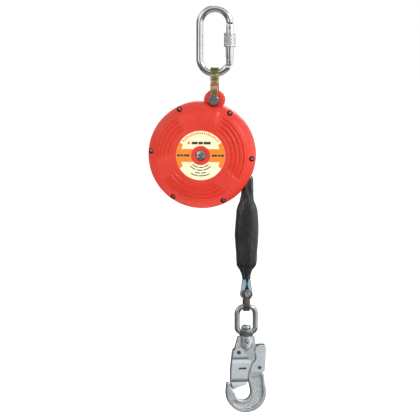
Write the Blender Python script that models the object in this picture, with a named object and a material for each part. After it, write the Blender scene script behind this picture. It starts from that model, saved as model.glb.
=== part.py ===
"""Self retracting lifeline: a fall-arrest block on a screw-gate carabiner, with a snap hook on its line.

Sizes below are in millimetres and become metres when a mesh is made. +Z is up and the label faces -Y. The
origin is the inside of the carabiner's top, where the anchor holds it. Everything below the absorber is
turned a little about the line, and is drawn in its own axes: across, forward and up.
"""

import math

import bmesh
import bpy
from mathutils import Matrix, Vector

MM = 0.001
GAP = 0.3  # between pieces that touch

# anchor carabiner
BAR_R = 5.5
OVAL_HALF_W = 23.25  # bar centre to middle
OVAL_TOP_Z = -17.75  # centre of the top bend
OVAL_LOW_Z = -71.25  # centre of the bottom bend
GATE_X = OVAL_HALF_W
GATE_R = 6.25
GATE_TOP_Z = -18.6
GATE_HINGE_Z = -76.0
LATCH_PIN_Z = -25.0
LATCH_PIN_R = 1.85
GATE_PIN_R = 1.6
TONGUE_HALF = 2.5  # half thickness of the nose tongue and the hinge tang
FORK_HALF = 2.9
LOCK_SLEEVE_Z = (-53.5, -32.0)
LOCK_SLEEVE_R = 9.0

# top shackle and lug
STRAP_W = 12.0
STRAP_T = 2.8
STRAP_BEND_R = 6.7  # inside
STRAP_AXIS_Z = -94.3
STRAP_LEG_Y = 13.5  # middle of a leg at the lug
STRAP_EYE_R = 8.75
LUG_Z = -135.5
LUG_R = 16.0
LUG_HALF = 11.5
LUG_BOLT_R = 4.0
STRAP_CLEAR_R = 11.5  # round the bolt, where the slope of the covers is cut back for the strap

# casing, measured from its centre; depth is the distance from the joint face between the covers
CASE_X = -19.0
CASE_Z = -220.5
CASE_R = 83.6
CASE_SEGMENTS = 36
CAVITY_R = 74.3
FACE_DEPTH = 32.0
SHAFT_HOLE_R = 8.4
LABEL_R = (14.9, 38.1)
LABEL_SEAT_DEPTH = 31.2
SCREW_CIRCLE_R = 78.4
SCREW_FIRST_DEG = 56.0
SCREW_COUNT = 6
SCREW_HEAD_R = 3.1
SCREW_HEAD_DEPTH = 9.85  # of its top
SCREW_SHANK_R = 1.8
COUNTERBORE_R = 4.3
COUNTERBORE_DEPTH = 4.8  # of its floor

# inside the casing
PLATE_T = 2.5
PLATE_HUB_DEPTH = 22.0
PLATE_LUG_DEPTH = 7.0
PLATE_RAMP = (54.0, 74.0)  # from the shaft towards the lug
SHAFT_R = 7.7
DRUM_FLANGE_R = 73.3
DRUM_BORE_R = 10.8
ROPE_R = 2.4
LINE_REACH = 70.0  # drum centre to the line that leaves it
PAWL_PIVOT_R = 27.0
PAWL_PIN_R = 2.0
PAWL_DEPTH = (3.0, 8.4)
TOOTH_COUNT = 12

# line, absorber and the pieces under it
LINE_X = CASE_X + LINE_REACH
TAIL_YAW_DEG = 12.0
LOWER_BOLT_Z = -438.4
LOWER_BOLT_R = 3.0
RING_TOP_Z = -458.4
RING_LOW_Z = -499.0
RING_BAR_R = 4.35
RING_HALF_W = 14.4
SWIVEL_Z = -504.0
STUD_R = 4.3
CROSS_PIN_Z = -513.0
CROSS_PIN_R = 3.0

# snap hook, in its own across and up
HOOK_HALF = 6.5  # half thickness
WEB_HALF = 4.8
BARREL_R = 10.5
BOW = (0.0, -593.5, 32.0)  # centre and outer radius
EYE = (-5.1, -594.0, 12.4)  # centre and radius of the opening
HOOK_PIN = (-12.9, -529.6)
HOOK_PIN_R = 3.0
LEVER_PIN = (19.9, -553.8)
LEVER_PIN_R = 2.6
SHEET_T = 1.6
GATE_HALF = 8.6  # half width over the gate's cheeks
LEVER_HALF = 11.5

LOOKS = {
    "polished_steel": ((0.72, 0.73, 0.74), 0.12, 1.0),
    "passivated_strap": ((0.55, 0.47, 0.24), 0.32, 1.0),
    "bolt_steel": ((0.42, 0.40, 0.39), 0.35, 1.0),
    "red_cover": ((0.83, 0.07, 0.03), 0.38, 0.0),
    "label": ((0.92, 0.62, 0.25), 0.45, 0.0),
    "plated_steel": ((0.60, 0.60, 0.58), 0.30, 1.0),
    "cast_aluminium": ((0.62, 0.63, 0.64), 0.50, 1.0),
    "spring_steel": ((0.25, 0.26, 0.30), 0.35, 1.0),
    "bronze": ((0.60, 0.42, 0.20), 0.40, 1.0),
    "friction_lining": ((0.16, 0.12, 0.10), 0.85, 0.0),
    "wire_rope": ((0.50, 0.51, 0.52), 0.40, 1.0),
    "guide_plastic": ((0.05, 0.05, 0.05), 0.50, 0.0),
    "black_sleeve": ((0.02, 0.02, 0.022), 0.35, 0.0),
    "webbing": ((0.75, 0.70, 0.55), 0.90, 0.0),
    "blue_zinc": ((0.45, 0.58, 0.66), 0.22, 1.0),
    "dark_steel": ((0.20, 0.20, 0.20), 0.38, 1.0),
    "ring_steel": ((0.38, 0.39, 0.38), 0.33, 1.0),
    "zinc_forging": ((0.60, 0.63, 0.64), 0.38, 1.0),
}


class Frame:
    """An empty, usually on a joint's axis. Pieces under it use the axes that `datum` is given in."""

    def __init__(self, name, where, parent=None, datum=None, yaw_deg=0.0):
        self.empty = bpy.data.objects.new(name, None)
        bpy.context.scene.collection.objects.link(self.empty)
        self.empty.empty_display_size = 10 * MM
        start = parent.datum if parent else Vector((0, 0, 0))
        if parent:
            self.empty.parent = parent.empty
        self.empty.location = (Vector(where) - start) * MM
        self.empty.rotation_euler = (0, 0, math.radians(yaw_deg))
        self.datum = Vector(where if datum is None else datum)


def clear_scene():
    for obj in list(bpy.data.objects):
        bpy.data.objects.remove(obj, do_unlink=True)


def look(name):
    made = bpy.data.materials.get(name)
    if made:
        return made
    colour, roughness, metallic = LOOKS[name]
    made = bpy.data.materials.new(name)
    made.use_nodes = True
    shader = made.node_tree.nodes["Principled BSDF"]
    shader.inputs["Base Color"].default_value = (*colour, 1.0)
    shader.inputs["Roughness"].default_value = roughness
    shader.inputs["Metallic"].default_value = metallic
    return made


def piece(name, shape, finish, frame, smooth=True):
    """An object from (points, faces) drawn in the frame's axes, in millimetres."""
    points, faces = shape
    mesh = bpy.data.meshes.new(name)
    mesh.from_pydata([(Vector(p) - frame.datum) * MM for p in points], [], faces)
    shaped = bmesh.new()
    shaped.from_mesh(mesh)
    bmesh.ops.recalc_face_normals(shaped, faces=shaped.faces)
    shaped.to_mesh(mesh)
    shaped.free()
    mesh.materials.append(look(finish))
    if smooth:
        mesh.shade_smooth()
        mesh.set_sharp_from_angle(angle=math.radians(32))
    made = bpy.data.objects.new(name, mesh)
    bpy.context.scene.collection.objects.link(made)
    made.parent = frame.empty
    return made


def combine(target, operation, shape, frame):
    """Joins a helper shape to a piece or cuts it away, as a Boolean modifier."""
    count = len(target.modifiers) + 1
    helper = piece(f"{target.name}_{operation.lower()}_{count}", shape, "bolt_steel", frame)
    helper.hide_render = True
    helper.display_type = "WIRE"
    step = target.modifiers.new(f"{operation.lower()}_{count}", "BOOLEAN")
    step.operation = operation
    step.object = helper


def cut(target, shape, frame):
    combine(target, "DIFFERENCE", shape, frame)


def join(target, shape, frame):
    combine(target, "UNION", shape, frame)


def polar(radius, degrees, centre=(0.0, 0.0)):
    a = math.radians(degrees)
    return centre[0] + radius * math.cos(a), centre[1] + radius * math.sin(a)


def arc(centre, radius, start, end, steps):
    return [polar(radius, start + (end - start) * i / steps, centre) for i in range(steps + 1)]


def ring(radius, count, centre=(0.0, 0.0)):
    return [polar(radius, 360.0 * i / count, centre) for i in range(count)]


def hexagon(corner_r, count, centre=(0.0, 0.0)):
    """Points on a regular hexagon, as many as a circle beside it has."""
    flat_r = corner_r * math.cos(math.pi / 6)
    found = []
    for i in range(count):
        a = 2 * math.pi * i / count
        off = (a + math.pi / 6) % (math.pi / 3) - math.pi / 6
        found.append(polar(flat_r / math.cos(off), math.degrees(a), centre))
    return found


def lay(outline, height, axis):
    """A flat outline stood at a height along Y or Z."""
    if axis == "Y":
        return [(x, height, z) for x, z in outline]
    return [(x, y, height) for x, y in outline]


def loft(loops, closed=False):
    """A skin through loops of equal length. It closes on itself, or has a flat face at each end."""
    n = len(loops[0])
    points = [p for loop in loops for p in loop]
    faces = []
    for i in range(len(loops) if closed else len(loops) - 1):
        low, high = i * n, (i + 1) % len(loops) * n
        for j in range(n):
            k = (j + 1) % n
            faces.append((low + j, low + k, high + k, high + j))
    if not closed:
        faces.append(tuple(range(n - 1, -1, -1)))
        faces.append(tuple(range(len(points) - n, len(points))))
    return points, faces


def extruded(outline, low, high, axis="Y"):
    return loft([lay(outline, low, axis), lay(outline, high, axis)])


def tube(outer, inner, low, high, axis="Y"):
    """A solid between two outlines with the same number of points."""
    ends = (outer, low), (outer, high), (inner, high), (inner, low)
    return loft([lay(outline, height, axis) for outline, height in ends], closed=True)


def turned(profile, segments, axis="Y", centre=(0.0, 0.0)):
    """A solid of revolution: profile is a closed loop of (radius, height) clear of the axis."""
    return loft([lay(ring(r, segments, centre), h, axis) for r, h in profile], closed=True)


def turned_solid(profile, segments, axis="Y", centre=(0.0, 0.0)):
    """A solid of revolution that fills to its axis: its first and last discs are its ends."""
    return loft([lay(ring(r, segments, centre), h, axis) for r, h in profile])


def swept(section, path, side, closed=False):
    """A section of (across, aside) points carried along a path. aside is near `side`."""
    path = [Vector(p) for p in path]
    side = Vector(side)
    loops = []
    for i, at in enumerate(path):
        before = path[i - 1] if i or closed else None
        after = path[(i + 1) % len(path)] if i + 1 < len(path) or closed else None
        come = (at - before).normalized() if before is not None else (after - at).normalized()
        go = (after - at).normalized() if after is not None else come
        along = (come + go).normalized()
        across = side.cross(along).normalized()
        aside = along.cross(across)
        stretch = 1 / max(along.dot(come), 0.3)
        loops.append([tuple(at + across * a * stretch + aside * b) for a, b in section])
    return loft(loops, closed)


def box(low, high):
    x, y, z = zip(low, high)
    outline = [(x[0], z[0]), (x[1], z[0]), (x[1], z[1]), (x[0], z[1])]
    return extruded(outline, y[0], y[1])


def rectangle(width, height):
    w, h = width / 2, height / 2
    return [(-w, -h), (w, -h), (w, h), (-w, h)]


def capsule(start, end, radius, steps=6):
    """An outline with round ends around two points."""
    away = math.degrees(math.atan2(end[1] - start[1], end[0] - start[0]))
    return arc(end, radius, away - 90, away + 90, steps) + arc(start, radius, away + 90, away + 270, steps)


def helix(centre, axis, start, radius, wire_r, turns, length, per_turn=8, sides=5, tail=()):
    """A coil spring: `start` is the direction of its first point, and tail points are in the same axes."""
    axis = Vector(axis).normalized()
    out = Vector(start).normalized()
    count = int(turns * per_turn)
    path = []
    for i in range(count + 1):
        spin = Matrix.Rotation(2 * math.pi * turns * i / count, 3, axis)
        path.append(Vector(centre) + spin @ out * radius + axis * length * i / count)
    path += [Vector(p) for p in tail]
    return swept(ring(wire_r, sides), path, axis)


def carabiner(frame):
    top, low = (0.0, OVAL_TOP_Z), (0.0, OVAL_LOW_Z)
    line = arc(top, OVAL_HALF_W, 0, 180, 12) + arc(low, OVAL_HALF_W, 180, 331, 10)
    bar = swept(ring(BAR_R, 12), lay(line, 0.0, "Y"), (0, 1, 0))
    body = piece("carabiner_body", bar, "polished_steel", frame)
    slot_x, slot_half = 18.6, 2.4
    tongue = [(slot_x, -15.0), (28.3, -15.0), (28.3, -29.5), (slot_x, -29.5)]
    tongue += [(slot_x, LATCH_PIN_Z - slot_half)]
    tongue += arc((GATE_X, LATCH_PIN_Z), slot_half, -90, 90, 6)
    tongue += [(slot_x, LATCH_PIN_Z + slot_half)]
    join(body, extruded(tongue, -TONGUE_HALF, TONGUE_HALF), frame)
    pin = (GATE_X, GATE_HINGE_Z)
    tang = capsule(pin, (19.6, -83.6), 4.2)
    join(body, extruded(tang, -TONGUE_HALF, TONGUE_HALF), frame)
    cut(body, extruded(ring(GATE_PIN_R + GAP, 12, pin), -9, 9), frame)


def carabiner_gate(frame):
    middle = (GATE_X, 0.0)
    pin = (GATE_X, GATE_HINGE_Z)
    low_z = GATE_HINGE_Z - GATE_R + 0.1
    barrel = [(GATE_R - 0.5, GATE_TOP_Z), (GATE_R, GATE_TOP_Z - 0.5), (GATE_R, low_z)]
    gate = piece("carabiner_gate", turned_solid(barrel, 20, "Z", middle), "polished_steel", frame)
    corner = GATE_R + 3
    left = arc(pin, GATE_R, 180, 270, 6) + [(GATE_X, GATE_HINGE_Z - corner)]
    left += [(GATE_X - corner, GATE_HINGE_Z - corner), (GATE_X - corner, GATE_HINGE_Z)]
    right = [(2 * GATE_X - x, z) for x, z in left]
    cut(gate, extruded(left, -9, 9), frame)
    cut(gate, extruded(right, -9, 9), frame)
    cut(gate, box((GATE_X - 9, -FORK_HALF, -31.0), (GATE_X + 9, FORK_HALF, GATE_TOP_Z + 2)), frame)
    cut(gate, box((GATE_X - 9, -FORK_HALF, -88.0), (GATE_X + 9, FORK_HALF, -69.6)), frame)
    cut(gate, turned_solid([(3.2, -70.5), (3.2, -30.0)], 16, "Z", middle), frame)
    cut(gate, extruded(ring(LATCH_PIN_R + GAP, 12, (GATE_X, LATCH_PIN_Z)), -9, 9), frame)
    cut(gate, extruded(ring(GATE_PIN_R + GAP, 12, pin), -9, 9), frame)
    latch = ring(LATCH_PIN_R, 12, (GATE_X, LATCH_PIN_Z))
    piece("carabiner_latch_pin", extruded(latch, -5.6, 5.6), "bolt_steel", frame)
    piece("carabiner_gate_pin", extruded(ring(GATE_PIN_R, 12, pin), -5.8, 5.8), "bolt_steel", frame)
    coil = helix((GATE_X, 0, -69.0), (0, 0, 1), (1, 0, 0), 2.35, 0.4, 5, 24.0, per_turn=7, sides=4)
    piece("carabiner_gate_spring", coil, "spring_steel", frame)


def lock_sleeve(frame):
    """A knurled nut around the gate: its flutes run along it."""
    flutes = 16
    outer = [polar(LOCK_SLEEVE_R - (0.45 if i % 2 else 0.0), 180.0 * i / flutes) for i in range(2 * flutes)]
    outer = [(x + GATE_X, y) for x, y in outer]
    inner = ring(GATE_R + 0.4, 2 * flutes, (GATE_X, 0.0))
    piece("lock_sleeve", tube(outer, inner, *LOCK_SLEEVE_Z, axis="Z"), "polished_steel", frame)


def strap(name, finish, frame, path, width, thick, eye, hole_r):
    """A bent flat strap with a round eye at each end; eye is (height, radius, inner depth)."""
    made = piece(name, swept(rectangle(thick, width), path, (1, 0, 0)), finish, frame)
    eye_z, eye_r, depth = eye
    for low in (depth, -depth - thick):
        join(made, extruded(ring(eye_r, 28, (0.0, eye_z)), low, low + thick), frame)
    cut(made, extruded(ring(hole_r, 20, (0.0, eye_z)), -depth - 9, depth + 9), frame)


def top_shackle(frame):
    bend_y = STRAP_BEND_R + STRAP_T / 2
    legs = [(-STRAP_LEG_Y, LUG_Z), (-STRAP_LEG_Y, -118.0), (-bend_y, -110.5)]
    bend = arc((0.0, STRAP_AXIS_Z), bend_y, 180, 0, 10)
    path = legs + bend + [(-y, z) for y, z in reversed(legs)]
    eye = (LUG_Z, STRAP_EYE_R, STRAP_LEG_Y - STRAP_T / 2)
    path = [(0.0, y, z) for y, z in path]
    strap("top_shackle", "passivated_strap", frame, path, STRAP_W, STRAP_T, eye, LUG_BOLT_R + 0.4)
    middle = (0.0, LUG_Z)
    face = STRAP_LEG_Y + STRAP_T / 2 + GAP
    head = [hexagon(7.2, 24, middle), hexagon(8.1, 24, middle), hexagon(8.1, 24, middle)]
    head += [ring(LUG_BOLT_R, 24, middle)] * 2
    depths = (-face - 5.2, -face - 4.6, -face, -face, face + 8.0)
    bolt = loft([lay(outline, y, "Y") for outline, y in zip(head, depths)])
    piece("lug_bolt", bolt, "bolt_steel", frame)
    nut = tube(hexagon(8.1, 24, middle), ring(LUG_BOLT_R + GAP, 24, middle), face, face + 6.5)
    piece("lug_nut", nut, "bolt_steel", frame)


def lug_way():
    """The unit direction from the shaft to the lug, and the distance."""
    away = Vector((-CASE_X, LUG_Z - CASE_Z))
    return away.normalized(), away.length


def on_lug_line(point):
    """A point given as (towards the lug, to its right), from the casing's centre, in the casing's plane."""
    way, _ = lug_way()
    s, t = point
    return CASE_X + s * way.x + t * way.y, CASE_Z + s * way.y - t * way.x


def from_case(point):
    return point[0] + CASE_X, point[1] + CASE_Z


def screw_places():
    return [
        from_case(polar(SCREW_CIRCLE_R, SCREW_FIRST_DEG + 360.0 * i / SCREW_COUNT))
        for i in range(SCREW_COUNT)
    ]


def cover_profile(labelled):
    """(radius, depth) down the outside of a cover, and back up its inside."""
    seat = LABEL_SEAT_DEPTH if labelled else FACE_DEPTH
    inner_r = LABEL_R[0] - GAP
    outside = [(SHAFT_HOLE_R, 31.0), (11.0, FACE_DEPTH), (inner_r, FACE_DEPTH)]
    if labelled:
        outside += [(inner_r, seat), (LABEL_R[1] + GAP, seat), (LABEL_R[1] + GAP, FACE_DEPTH)]
    outside += [(40.5, FACE_DEPTH), (56.0, 29.8), (68.0, 26.8), (73.0, 23.8), (78.0, 18.5)]
    outside += [(81.8, 12.5), (CASE_R, 7.0), (CASE_R, GAP / 2)]
    inside = [(CAVITY_R, GAP / 2), (CAVITY_R, 6.8), (72.6, 6.8), (72.4, 17.0), (69.6, 21.4)]
    inside += [(40.0, 28.6), (SHAFT_HOLE_R, 28.6)]
    return outside + inside


def cover(name, side, frame):
    """One shell of the casing: side is -1 at the front, +1 at the rear."""
    middle = (CASE_X, CASE_Z)
    profile = [(r, side * depth) for r, depth in cover_profile(side < 0)]
    made = piece(name, turned(profile, CASE_SEGMENTS, "Y", middle), "red_cover", frame)

    def deep(low, high):
        return sorted((side * low, side * high))

    cut(made, extruded(ring(STRAP_CLEAR_R, 28, (0.0, LUG_Z)), *deep(LUG_HALF - GAP, 40)), frame)
    lug = ring(LUG_R, 32, (0.0, LUG_Z))
    join(made, extruded(lug, *deep(GAP / 2, LUG_HALF)), frame)
    _, reach = lug_way()
    half = 10.6
    pocket = [(66.0, -half), (reach, -half)]
    pocket += arc((reach, 0.0), half, -90, 90, 8)[1:-1]
    pocket += [(reach, half), (66.0, half)]
    cut(made, extruded([on_lug_line(p) for p in pocket], *deep(-1, 9.9)), frame)
    wide = half + 0.3
    ramp = [(64.0, -wide), (73.6, -wide), (73.6, wide), (64.0, wide)]
    cut(made, extruded([on_lug_line(p) for p in ramp], *deep(-1, 12.4)), frame)
    cut(made, extruded(ring(LUG_BOLT_R + 0.4, 20, (0.0, LUG_Z)), *deep(-2, 15)), frame)
    mouth = [(66.4, -34.6), (92.0, -34.6), (92.0, -99.0), (60.3, -99.0), (60.3, -44.6), (63.4, -39.9)]
    cut(made, extruded([from_case(p) for p in mouth], *deep(-1, 8.9)), frame)
    guide_bore = turned_solid([(5.3, CASE_Z - 36.0), (5.3, CASE_Z - 6.0)], 20, "Z", (LINE_X, 0.0))
    cut(made, guide_bore, frame)
    for place in screw_places():
        if side < 0:
            cut(made, extruded(ring(COUNTERBORE_R, 14, place), *deep(COUNTERBORE_DEPTH, 30)), frame)
            cut(made, extruded(ring(SCREW_SHANK_R + GAP, 10, place), *deep(-1, 6)), frame)
        else:
            cut(made, extruded(ring(SCREW_SHANK_R + GAP, 10, place), *deep(-1, 8.6)), frame)


def cover_screws(frame):
    seat = -COUNTERBORE_DEPTH - GAP
    profile = [(2.5, -SCREW_HEAD_DEPTH), (SCREW_HEAD_R, 1.2 - SCREW_HEAD_DEPTH), (SCREW_HEAD_R, seat)]
    profile += [(SCREW_SHANK_R, seat), (SCREW_SHANK_R, 8.2)]
    for i, place in enumerate(screw_places()):
        piece(f"cover_screw_{i + 1}", turned_solid(profile, 10, "Y", place), "plated_steel", frame)


def front_label(frame):
    disc = [ring(r, CASE_SEGMENTS, (CASE_X, CASE_Z)) for r in reversed(LABEL_R)]
    low = -LABEL_SEAT_DEPTH - GAP - 0.4
    piece("front_label", tube(*disc, low, low + 0.4), "label", frame)


def load_plate(name, side, frame):
    """A steel plate from the shaft to the lug bolt, bent inwards between them."""
    _, reach = lug_way()
    hub_r, end_r = 17.0, 10.0
    neck = math.degrees(math.asin(end_r / hub_r))
    outline = arc((0.0, 0.0), hub_r, neck, 360 - neck, 18)
    outline += [(PLATE_RAMP[0], -end_r), (PLATE_RAMP[1], -end_r)]
    outline += arc((reach, 0.0), end_r, -90, 90, 10)
    outline += [(PLATE_RAMP[1], end_r), (PLATE_RAMP[0], end_r)]
    drop = PLATE_HUB_DEPTH - PLATE_LUG_DEPTH
    start, end = PLATE_RAMP

    def bent(s, depth):
        share = min(max((s - start) / (end - start), 0.0), 1.0)
        return side * (depth - drop * share)

    points, faces = extruded(outline, PLATE_HUB_DEPTH, PLATE_HUB_DEPTH + PLATE_T)
    made = bmesh.new()
    corners = [made.verts.new((s, depth, t)) for s, depth, t in points]
    for face in faces:
        made.faces.new([corners[i] for i in face])
    for s in PLATE_RAMP:
        geometry = made.verts[:] + made.edges[:] + made.faces[:]
        bmesh.ops.bisect_plane(made, geom=geometry, plane_co=(s, 0, 0), plane_no=(1, 0, 0))
    made.verts.index_update()
    spots = []
    for v in made.verts:
        x, z = on_lug_line((v.co.x, v.co.z))
        spots.append((x, bent(v.co.x, v.co.y), z))
    shape = spots, [[v.index for v in face.verts] for face in made.faces]
    made.free()
    plate = piece(name, shape, "plated_steel", frame, smooth=False)
    cut(plate, extruded(ring(SHAFT_R + GAP, 24, (CASE_X, CASE_Z)), -40, 40), frame)
    cut(plate, extruded(ring(LUG_BOLT_R + 0.4, 20, (0.0, LUG_Z)), -40, 40), frame)


def shaft_and_frame(frame):
    middle = (CASE_X, CASE_Z)
    load_plate("load_plate_front", -1, frame)
    load_plate("load_plate_rear", 1, frame)
    bush = tube(ring(7.0, 20, (0.0, LUG_Z)), ring(LUG_BOLT_R + 0.4, 20, (0.0, LUG_Z)), -6.7, 6.7)
    piece("lug_bush", bush, "plated_steel", frame)
    groove = [(7.0, -29.4), (SHAFT_R, -28.7), (SHAFT_R, -26.2)]
    groove += [(6.9, -26.2), (6.9, -24.8), (SHAFT_R, -24.8)]
    profile = groove + [(r, -y) for r, y in reversed(groove)]
    shaft = piece("main_shaft", turned_solid(profile, 20, "Y", middle), "bolt_steel", frame)
    for side in (-1, 1):
        low = Vector((CASE_X + side * 6.8, -31, CASE_Z - 1.6))
        cut(shaft, box((low.x - 1.6, low.y, low.z), (low.x + 1.6, -25.8 - 0.8, CASE_Z + 1.6)), frame)
    clip = arc(middle, 10.4, -60, 240, 16) + arc(middle, 7.2, 240, -60, 16)
    piece("shaft_clip_front", extruded(clip, -26.05, -24.95), "spring_steel", frame)
    piece("shaft_clip_rear", extruded(clip, 24.95, 26.05), "spring_steel", frame)


def drum(frame):
    """The spool, with the spring's barrel on its front and the pawls' recess in its rear."""
    middle = (CASE_X, CASE_Z)
    spool = [(DRUM_BORE_R, -2.0), (DRUM_BORE_R, 8.0), (14.0, 8.0), (14.0, 2.0), (46.0, 2.0), (46.0, 6.5)]
    spool += [(DRUM_FLANGE_R, 6.5), (DRUM_FLANGE_R, 5.0), (52.4, 5.0), (52.4, -5.0)]
    spool += [(DRUM_FLANGE_R, -5.0), (DRUM_FLANGE_R, -6.5), (51.0, -6.5), (51.0, -20.0)]
    spool += [(49.2, -20.0), (49.2, -2.0)]
    made = piece("drum", turned(spool, CASE_SEGMENTS, "Y", middle), "cast_aluminium", frame)
    for side in (1, -1):
        pin = (CASE_X + side * PAWL_PIVOT_R, CASE_Z)
        cut(made, extruded(ring(PAWL_PIN_R + GAP, 12, pin), -4, 4), frame)
    bore, out = ring(SHAFT_R + GAP, 24, middle), ring(DRUM_BORE_R - GAP, 24, middle)
    piece("drum_bush", tube(out, bore, -1.8, 7.8), "bronze", frame)
    wound = [(52.8, -4.6), (66.2, -4.6), (67.2, -3.2), (67.2, 3.2), (66.2, 4.6), (52.8, 4.6)]
    piece("wound_line", turned(wound, CASE_SEGMENTS, "Y", middle), "wire_rope", frame)
    lid = tube(ring(50.8, 32, middle), ring(13.4, 32, middle), -21.5, -20.3)
    piece("spring_cover", lid, "plated_steel", frame)


def power_spring(frame):
    """A flat strip wound outwards from the shaft."""
    middle = (CASE_X, CASE_Z)
    turns, per_turn, inner_r, outer_r = 6.5, 12, 8.9, 47.4
    count = int(turns * per_turn)
    path = []
    for i in range(count + 1):
        share = i / count
        x, z = polar(inner_r + (outer_r - inner_r) * share, 360.0 * turns * share, middle)
        path.append((x, -11.1, z))
    piece("power_spring", swept(rectangle(0.9, 16.6), path, (0, 1, 0)), "spring_steel", frame)


def brake(frame):
    """What holds the ratchet ring: it slips between two linings under a dished pressure plate."""
    middle = (CASE_X, CASE_Z)
    bore, tube_r, clear = SHAFT_R + GAP, 12.0, 12.4
    hub = [(bore, 8.8), (35.5, 8.8), (35.5, 10.6), (tube_r, 10.6), (tube_r, 21.5), (bore, 21.5)]
    piece("brake_hub", turned(hub, 24, "Y", middle), "plated_steel", frame)
    for name, low in (("friction_disc_inner", 10.9), ("friction_disc_outer", 14.5)):
        disc = tube(ring(35.0, 24, middle), ring(clear, 24, middle), low, low + 1.0)
        piece(name, disc, "friction_lining", frame)
    dish = [(34.5, 15.8), (34.5, 17.4), (24.0, 19.4), (clear, 19.4)]
    dish += [(clear, 17.8), (24.0, 17.8), (32.0, 15.8)]
    piece("pressure_plate", turned(dish, 24, "Y", middle), "plated_steel", frame)
    nut = tube(hexagon(19.0, 24, middle), ring(clear, 24, middle), 19.7, 21.6)
    piece("brake_nut", nut, "plated_steel", frame)
    teeth = []
    for i in range(TOOTH_COUNT):
        base = 360.0 * i / TOOTH_COUNT
        for r, a in ((38.0, -28.8), (41.2, -24.6), (41.2, -12.0), (38.0, -5.0)):
            teeth.append(polar(r, base + a, middle))
    count = len(teeth)
    first = -28.8
    outer = [polar(45.0, first + 360.0 * i / count, middle) for i in range(count)]
    inner = [polar(clear, first + 360.0 * i / count, middle) for i in range(count)]
    order = (outer, 3.2), (outer, 14.2), (inner, 14.2), (inner, 12.2), (teeth, 12.2), (teeth, 3.2)
    shape = loft([lay(outline, y, "Y") for outline, y in order], closed=True)
    piece("ratchet_ring", shape, "plated_steel", frame, smooth=False)


def pawl(number, side, drum_frame, pawl_frame):
    """A pawl that swings out into the ratchet ring's teeth; side is +1, or -1 for the one opposite."""
    outline = arc((PAWL_PIVOT_R, 0.0), 4.6, 5, 215, 9)
    tip = (29.5, -18), (32.5, -30), (36.8, -30), (36.8, -22), (36.0, -14)
    outline += [polar(r, a) for r, a in tip]
    outline = [from_case((side * x, side * z)) for x, z in outline]
    pin = from_case((side * PAWL_PIVOT_R, 0.0))
    made = piece(f"pawl_{number}", extruded(outline, *PAWL_DEPTH), "plated_steel", pawl_frame)
    cut(made, extruded(ring(PAWL_PIN_R + 0.35, 12, pin), 0, 12), pawl_frame)
    piece(f"pawl_pin_{number}", extruded(ring(PAWL_PIN_R, 12, pin), -1.7, 8.4), "bolt_steel", drum_frame)
    start = polar(16.0, -26)
    end = polar(28.0, -26)
    x, z = from_case((side * start[0], side * start[1]))
    way = Vector((side * (end[0] - start[0]), 0.0, side * (end[1] - start[1])))
    coil = helix((x, 5.7, z), way, (0, 1, 0), 1.7, 0.35, 5, way.length, per_turn=6, sides=4)
    piece(f"pawl_spring_{number}", coil, "spring_steel", drum_frame)


def line_guide(frame):
    top, low = CASE_Z - 27.5, CASE_Z - 34.3
    profile = [(5.0, top), (5.0, low), (3.0, low), (3.0, top)]
    piece("line_guide", turned(profile, 20, "Z", (LINE_X, 0.0)), "guide_plastic", frame)


def line_end(frame):
    ferrule_z = (-292.0, -270.0)
    rope = [(ROPE_R, CASE_Z), (ROPE_R, ferrule_z[1] + GAP)]
    piece("line_run", turned_solid(rope, 12, "Z", (LINE_X, 0.0)), "wire_rope", frame)
    low, top = ferrule_z
    ends = [(4.6, top), (5.5, top - 1), (5.5, low + 1), (4.6, low)]
    piece("line_ferrule", turned_solid(ends, 16, "Z", (LINE_X, 0.0)), "cast_aluminium", frame)


def absorber(frame):
    """Tear webbing folded to and fro in a shrink sleeve with a mouth at each end."""
    layers, pitch, low, high = 5, 2.8, -385.0, -322.0
    path = []
    for i in range(layers):
        y = (i - (layers - 1) / 2) * pitch
        ends = (low, high) if i % 2 else (high, low)
        path += [(LINE_X, y, z) for z in ends]
    fold = swept(rectangle(2.2, 24.0), path, (1, 0, 0))
    pack = piece("absorber_pack", fold, "webbing", frame, smooth=False)
    side = pitch * (layers - 1) / 2
    up = -side, (-325.0, -318.0, -303.0, -292.6)
    down = side, (-382.0, -388.0, -400.0, -415.0)
    for depth, levels in (up, down):
        tab = [(LINE_X, y, z) for y, z in zip((depth, depth, 0.0, 0.0), levels)]
        join(pack, swept(rectangle(1.8, 9.0), tab, (1, 0, 0)), frame)
    wall, count = 1.2, 18
    # height, middle to the right of the line, half width, half depth
    sections = [
        (-257.2, 1.9, 5.4, 6.2), (-260.5, 1.4, 7.6, 7.6), (-266.5, 0.0, 9.2, 8.2), (-290.0, 0.0, 9.4, 8.4),
        (-300.0, 0.0, 12.4, 9.4), (-311.0, 0.0, 17.4, 10.6), (-340.0, 0.0, 19.5, 11.0),
        (-380.0, 0.0, 18.6, 11.0), (-392.0, 0.0, 16.6, 10.6), (-400.0, 0.0, 12.6, 9.6),
        (-407.0, 0.0, 7.6, 7.4), (-415.0, 0.0, 6.4, 6.4),
    ]

    def level(section, inset):
        z, off, a, b = section
        loop = []
        for i in range(count):
            t = 2 * math.pi * i / count
            c, s = math.cos(t), math.sin(t)
            x = math.copysign(abs(c) ** 0.8, c) * (a - inset)
            y = math.copysign(abs(s) ** 0.8, s) * (b - inset)
            loop.append((LINE_X + off + x, y, z))
        return loop

    loops = [level(s, 0.0) for s in sections] + [level(s, wall) for s in reversed(sections)]
    piece("absorber_sleeve", loft(loops, closed=True), "black_sleeve", frame)


def teardrop(radius, half_top, top_z, inset=0.0):
    """An outline round below the bolt and tapered above it."""
    r, w = radius - inset, max(half_top - inset, 0.4)
    z = top_z - inset
    outline = arc((0.0, LOWER_BOLT_Z), r, 170, 370, 14)
    middle = (0.5 * (r + w), 0.5 * (LOWER_BOLT_Z + 2 + z))
    return outline + [middle, (w, z), (-w, z), (-middle[0], middle[1])]


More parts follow.
